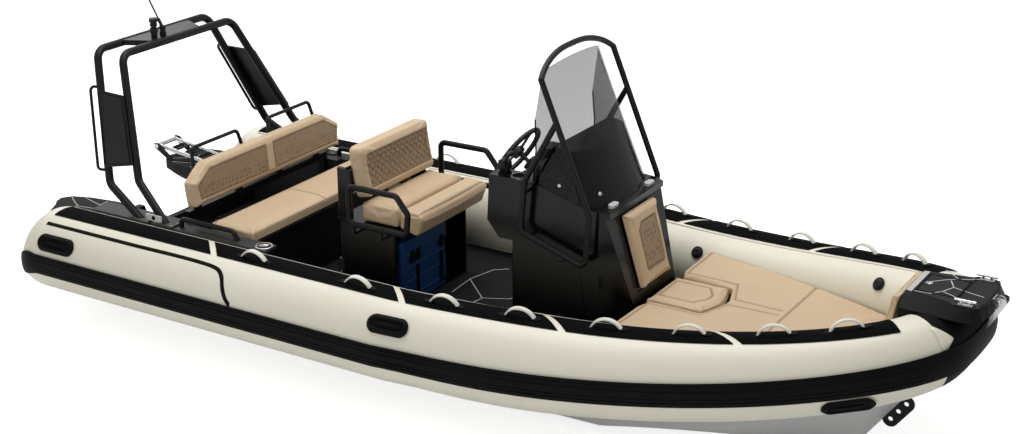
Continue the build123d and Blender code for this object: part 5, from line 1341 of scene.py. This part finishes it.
# %% Cleat dishes and lid latch
DISH_ROWS = ((0.0, 0.3), (0.0, 3.0), (1.2, 4.0), (5.0, 4.0), (7.0, 1.2))  # inset and height
dishes = []
for side in SIDES:
    right, up, _ = axes_on(FLAT)
    centre = Vector((2742, side * 176, STEP_TOP_Z + FOAM_T))
    outline = rounded(48, 132, 23.9, 8) if abs(right.y) > 0.5 else rounded(132, 48, 23.9, 8)
    rings = [[centre + right * u + up * v + Vector(FLAT) * (h - FOAM_T) for u, v in shrunk(outline, inset_by)]
             for inset_by, h in DISH_ROWS]
    dishes.append(closed_mesh("dish", rings))
piece("cleat_dishes", dishes, GELCOAT, "plastic_black")
latch = turned((2512, 0, STEP_TOP_Z + FOAM_T), FLAT, ((17, 0), (17, 1.5), (14, 2.4), (9, 2.4), (8, 1.0)), 28)
piece("lid_latch", [latch], STEEL, "stainless", "anchor_hatch")

print("step: sheets", len(sheets), "dishes", len(dishes))

# %% Bow roller: grooved wheel, pin heads and bolts
ROLLER = (2862, 913)  # x and z of its axis
groove = [(24.5, -22), (28, -20), (28, -15), (20, -5), (20, 5), (28, 15), (28, 20), (24.5, 22)]
wheel = turned((ROLLER[0], 0, ROLLER[1]), (0, 1, 0), groove, 28)
piece("roller_wheel", [wheel], PLASTIC, "plastic_black", smooth=True)
pins = both_sides(lambda side: turned((ROLLER[0], side * 33.2, ROLLER[1]), (0, side, 0),
                                      ((11, 0), (11, 4), (9, 6), (4, 6.4)), 6))
piece("roller_pin_heads", pins, STEEL, "stainless")
for side in SIDES:
    screws_at("boat", [(2840, side * 33.2, 842), (2846, side * 33.2, 872)], (0, side, 0))

# %% [markdown]
# ## Console
# The instrument face slopes up to the helm. It carries a display and two gauges; the dash below it carries
# rocker switches, a key and two sockets. All faces are plain, with no lettering.

# %% Display and gauges on the cowl
COWL_LOW, COWL_HIGH = Vector((470, 0, 1165)), Vector((579, 0, 1380))  # the face's lower and upper edge
FACE_UP = (COWL_HIGH - COWL_LOW).normalized()
FACE_OUT = Vector((-FACE_UP.z, 0, FACE_UP.x))


def on_cowl(y, share, lift=0.2):
    """A point on the instrument face, by its breadth and its share of the height."""
    return COWL_LOW.lerp(COWL_HIGH, share) + Vector((0, y, 0)) + FACE_OUT * lift


def faced(outline, y, share, thick, lift=0.2, edge=1.0):
    return slab(outline, on_cowl(y, share, lift), FACE_OUT, thick, edge)


bezels = [faced(rounded(286, 186, 14), 0, 0.55, 9, edge=3.0)]
rings, dials, marks = [], [], []
for y in (-222, 222):
    place = on_cowl(y, 0.62)
    bezels.append(turned(place, FACE_OUT, ((55, 0), (55, 6), (51, 9), (45, 9), (44, 5)), 36))
    rings.append(turned(place, FACE_OUT, ((51.5, 8.5), (50, 11), (46, 11), (45, 8.6)), 36))
    dials.append(turned(place, FACE_OUT, ((44, 5.2), (44, 6.2)), 36))
    right, up, out = axes_on(FACE_OUT)
    for k in range(11):
        a = radians(-225 + 27 * k)
        spoke = right * -cos(a) + up * -sin(a)
        marks.append(slab([(-0.8, -4), (0.8, -4), (0.8, 4), (-0.8, 4)], place + spoke * 37 + out * 6.2,
                          FACE_OUT, 0.7, 0.1, upwards=spoke))
    needle = right * cos(radians(35)) + up * sin(radians(35))
    marks.append(slab([(-1.1, -6), (1.1, -6), (0.4, 31), (-0.4, 31)], place + out * 7.4, FACE_OUT, 1.0, 0.1,
                      upwards=needle))
glass = faced(rounded(258, 158, 6), 0, 0.55, 1.0, 9.3, 0.3)
keys = [faced(rounded(15, 6, 2.9), x, 0.2, 1.6, 9.3, 0.4) for x in (-72, -36, 0, 36, 72)]
piece("instrument_bezels", bezels, PLASTIC, "plastic_black")
piece("instrument_rings", rings, STEEL, "stainless", smooth=True)
piece("instrument_faces", dials + [glass], GELCOAT, "gelcoat_black")
piece("instrument_marks", marks, WHITE_LINE, "lens_white")
piece("display_keys", keys, WHEEL_GRIP, "plastic_black")

# %% Switches, key and sockets on the dash panel
DASH_X, BACKWARDS = 313.8, (-1, 0, 0)
rockers, plates = [], []
for side in SIDES:
    plates.append(slab(rounded(128, 118, 8), (DASH_X, side * 118, 1020), BACKWARDS, 2.5))
    for k in range(8):
        y = side * 118 + (k % 4 - 1.5) * 29
        z = 1046 - (k // 4) * 54
        plates.append(slab(rounded(25, 47, 3), (DASH_X - 2.5, y, z), BACKWARDS, 3.0, 0.8))
        corners = ((-1, -1), (1, -1), (1, 1), (-1, 1))
        rockers.append(closed_mesh("rocker", [  # its lower edge stands out 12.5 mm, its upper edge 7.5 mm
            [(DASH_X - 5.5, y + u * 8.5, z + v * 19) for u, v in corners],
            [(DASH_X - 10 + v * 2.5, y + u * 7.5, z + v * 18) for u, v in corners]]))
piece("switch_plates", plates, PLASTIC, "plastic_black")
piece("switch_rockers", rockers, WHEEL_GRIP, "plastic_black")
sockets = [turned((DASH_X, y, 925), BACKWARDS, ((19, 0), (19, 3), (16, 5), (13, 5), (12, 1)), 28)
           for y in (-150, -95, 150)]
sockets.append(turned((DASH_X, 95, 925), BACKWARDS, ((16, 0), (16, 5), (12, 9), (9, 9), (8, 5)), 28))
key_bow = slab(rounded(9, 24, 4), (DASH_X - 14, 95, 925), BACKWARDS, 14, 1.0)
piece("dash_sockets", sockets + [key_bow], STEEL, "stainless")
screws_at("boat", [(DASH_X - 2.4, side * 118 + u * 57, 1020 + v * 52)
                   for side in SIDES for u in SIDES for v in SIDES], BACKWARDS)

# %% Wheel cap and finger grips
WHEEL_TILT = radians(32)
HUB = Vector((180, 0, 1190))
WHEEL_OUT = Vector((-cos(WHEEL_TILT), 0, sin(WHEEL_TILT)))
cap = turned(HUB, WHEEL_OUT, ((34, 12.9), (34, 16), (29, 20), (16, 22.5), (5, 23)), 32)
piece("wheel_cap", [cap], GELCOAT, "gelcoat_black", "wheel", smooth=True)
right, up, _ = axes_on(WHEEL_OUT)
screws_at("wheel", [HUB + (right * cos(a) + up * sin(a)) * 24 + WHEEL_OUT * 19.5 for a in
                    (radians(90), radians(210), radians(330))], WHEEL_OUT)
grips = []
for k in range(36):
    a = 2 * pi * (k + 0.5) / 36
    ring_dir, tangent = right * cos(a) + up * sin(a), up * cos(a) - right * sin(a)
    rib = [HUB + ring_dir * 158 + tangent * t for t in (-3.5, 3.5)]
    rings_of = [[p + (ring_dir * cos(b) + WHEEL_OUT * sin(b)) * 14.9 for b in circle(10)]
                for p in rib]
    grips.append(closed_mesh("grip_rib", rings_of))
piece("wheel_grip_ribs", grips, WHEEL_GRIP, "wheel_black", "wheel")

# %% Screen studs and its edge trim
STUD = ((11, 0), (11, 2.0), (8, 4.0), (3, 4.6))
STUDS = (((625, 326.6, 1177), (0, 1, 0)), ((813.5, 229.5, 1137), (0.83, 0.52, 0.19)))  # port: place, normal
studs = [turned((x, side * y, z), (nx, side * ny, nz), STUD, 20)
         for side in SIDES for (x, y, z), (nx, ny, nz) in STUDS]
piece("screen_studs", studs, STEEL, "stainless", smooth=True)
WING = ((467, 326.5, 1170), (478, 319, 1340), (467, 311, 1506))
trims = both_sides(lambda side: bar([(x, side * (y - 2), z) for x, y, z in WING], 4.2, 8))
piece("screen_trim", trims, RUBBER, "rubber_black", smooth=True)

# %% Console side: a raised hatch panel with a latch
HATCH = [(-150, -150), (150, -150), (190, 60), (-110, 150)]
panels = both_sides(lambda side: slab([(side * u, v) for u, v in HATCH[::side]],
                                      (640, side * 330.2, 640), (0, side, 0), 3.0, 1.5))
piece("console_side_hatches", panels, GELCOAT, "gelcoat_black")
latches = both_sides(lambda side: turned((640, side * 333.2, 735), (0, side, 0),
                                         ((20, 0), (20, 2), (17, 3.2), (10, 3.2), (9, 1)), 24))
piece("console_latches", latches, PLASTIC, "plastic_black")
print("console: keys", len(keys), "rockers", len(rockers), "marks", len(marks))

# %% [markdown]
# ## Cool box and helm pod
# The cool box is rotomoulded, so it has broad ribs, a lid seam and rubber latches. Black straps hold it down.
# The helm pod has a vent on each side.

# %% Cool box
BOX_X, BOX_Y0, BOX_Y1 = -397.8, -300.0, 140.0  # its front face, and its two sides
FORWARDS = (1, 0, 0)
middle_y = (BOX_Y0 + BOX_Y1) / 2
box_ribs = [slab(rounded(416, 9, 3), (BOX_X, middle_y, z), FORWARDS, 4.0, 1.8) for z in (292, 384, 470)]
box_ribs.append(slab(rounded(426, 26, 6), (BOX_X, middle_y, 552), FORWARDS, 6.0, 2.5))
box_ribs += [slab(rounded(24, 150, 8), (BOX_X, y, 360), FORWARDS, 5.0, 2.0)
             for y in (BOX_Y0 + 24, BOX_Y1 - 24)]
piece("cool_box_ribs", box_ribs, BLUE_PLASTIC, "cool_box_blue")
straps = [slab(rounded(26, 190, 3), (BOX_X, y, 373), FORWARDS, 7.0, 1.2) for y in (-156, 82)]
straps += [slab(rounded(40, 74, 9), (BOX_X, y, 528), FORWARDS, 11.0, 3.0) for y in (-215, -156, 82)]
straps += [slab(rounded(34, 22, 5), (BOX_X, y, 290), FORWARDS, 12.0, 2.5) for y in (-156, 82)]
piece("cool_box_straps", straps, RUBBER, "rubber_black")

# %% Vents on the helm pod
POD_HALF = 375.2
vents, slats = [], []
for side in SIDES:
    vents.append(slab(rounded(46, 96, 22.9), (-772, side * POD_HALF, 456), (0, side, 0), 3.5, 1.6))
    slats += [slab(rounded(30, 6, 2.5), (-772, side * (POD_HALF + 3.4), 432 + 12 * k), (0, side, 0), 1.6, 0.7)
          for k in range(5)]
    screws_at("boat", [(-772, side * (POD_HALF + 3.3), z) for z in (415, 497)], (0, side, 0))
piece("pod_vents", vents, PLASTIC, "plastic_black")
piece("pod_vent_slats", slats, WHEEL_GRIP, "plastic_black")

# %% [markdown]
# ## Stern
# The ladder's rungs wear rubber covers, the arch stands on bolted feet, and its black side sheets have a
# raised hem. A light bracket ties the two feet of each side, and the cups have rings and rubber liners.

# %% Ladder covers, in the ladder's own directions
LADDER_DIP = radians(7.5)
LADDER_AT = Vector((-2895, 522, 499 + 26 + 420 * sin(LADDER_DIP)))
LADDER_ALONG = Vector((cos(LADDER_DIP), 0, -sin(LADDER_DIP)))
LADDER_UP = Vector((sin(LADDER_DIP), 0, cos(LADDER_DIP)))
covers_of_rungs = []
for k in range(3):
    start = 90 + k * 110
    place = LADDER_AT + LADDER_ALONG * (start + 22.5) + LADDER_UP * 8.2
    covers_of_rungs.append(slab(rounded(112, 36, 5), place, LADDER_UP, 3.2, 1.0, upwards=LADDER_ALONG))
    for u in (-10, -3.3, 3.3, 10):
        covers_of_rungs.append(slab(rounded(104, 2.6, 1.2), place + LADDER_ALONG * u + LADDER_UP * 3.1,
                                    LADDER_UP, 1.4, 0.5, upwards=LADDER_ALONG))
piece("rung_covers", covers_of_rungs, RUBBER, "rubber_black", "ladder")

# %% Cup rings and their rubber liners
# x, half-breadth, top and liner's depth
STERN_CUP, DASH_CUP = (-1030, 742, 640.0, 20.0), (350, 272, 1165.0, 52.0)
rings, liners = [], []
for side in SIDES:
    for x, y, z, depth in (STERN_CUP, DASH_CUP):
        wall = ((33.4, -depth - 3), (33.4, 0), (38.5, 0.4), (38.5, 1.4), (31.5, 1.4), (31.5, -depth),
                (4, -depth))
        liners.append(turned((x, side * y, z + 3.4), FLAT, wall, 32))
    x, y, z, _ = STERN_CUP
    rings.append(turned((x, side * y, z + 0.2), FLAT, ((52, 0), (52, 1.4), (49, 3.2), (41, 3.2), (39, 1.0)),
                        36))
piece("cup_rings", rings, STEEL, "stainless", smooth=True)
piece("cup_liners", liners, RUBBER, "rubber_black", smooth=True)

# %% Bolts of the arch feet and hems of its side sheets
FEET = ((-1715.0, 768.0), (-1890.0, 778.0))  # x and half-breadth of each leg's foot
for side in SIDES:
    for x, y in FEET:
        screws_at("boat", [(x + u * 48, side * (y + v), 649.2) for u in SIDES for v in (-29, 23)], FLAT)
brackets, bracket_bolts = [], []
for side in SIDES:
    middle = ((FEET[0][0] + FEET[1][0]) / 2, side * (FEET[0][1] + 18), 670)
    brackets.append(slab(rounded(118, 40, 6), middle, (0, side, 0), 6.0, 1.0))
    bracket_bolts.append(turned((middle[0], middle[1] + side * 6.0, middle[2]), (0, side, 0),
                                ((13, 0), (13, 1.5), (9, 2.0), (4, 1.2)), 20))
piece("foot_brackets", brackets, HULL_PAINT, "hull_aluminium")
piece("foot_bracket_bolts", bracket_bolts, RUBBER, "rubber_black")
HEM_IN, HEM_R = 14.0, 2.2
panel_points = points_of(frame["nodes"]["arch_side_panels"].data)
hems = []
for side in SIDES:
    cloud = [Vector(p) / MM for p in panel_points if p[1] * side > 0]
    middle = sum(cloud, Vector()) / len(cloud)
    far = [min(cloud, key=lambda p: p.x + 0.9 * p.z), max(cloud, key=lambda p: p.x - 0.9 * p.z),
           max(cloud, key=lambda p: p.x + 0.9 * p.z), min(cloud, key=lambda p: p.x - 0.9 * p.z)]
    out = (far[1] - far[0]).cross(far[3] - far[0]).normalized()
    out = out if out.y * side > 0 else -out
    top = max((p - middle).dot(out) for p in cloud)
    place = middle + out * (top + 0.1)
    right, up, out = axes_on(out)
    corners = [((p - place).dot(right), (p - place).dot(up)) for p in far]
    if sum(a[0] * b[1] - b[0] * a[1] for a, b in zip(corners, corners[1:] + corners[:1])) < 0:
        corners.reverse()
    line = [place + right * u + up * v for u, v in shrunk(corners, HEM_IN)]
    for a, b in zip(line, line[1:] + line[:1]):
        hems.append(bar([a, a.lerp(b, 0.5), b], HEM_R, 8))
piece("panel_hems", hems, RUBBER, "rubber_black", smooth=True)
print("cool box ribs", len(box_ribs), "straps", len(straps), "slats", len(slats))

# %% [markdown]
# ## Screws
# Every fitting noted the places of its fasteners, and one tree stands the same button-head screw on all of
# them: one mesh for each body.

# %% Set out the screws
for body, spots in SCREWS.items():
    places, normals = [p * MM for p, _ in spots], [n for _, n in spots]
    heads = set_out(body + "_screws", ON_POINTS, screw, places, normals, STEEL)
    dressed(heads, STEEL, body, smooth=False)
    print(body, "screws", len(spots))
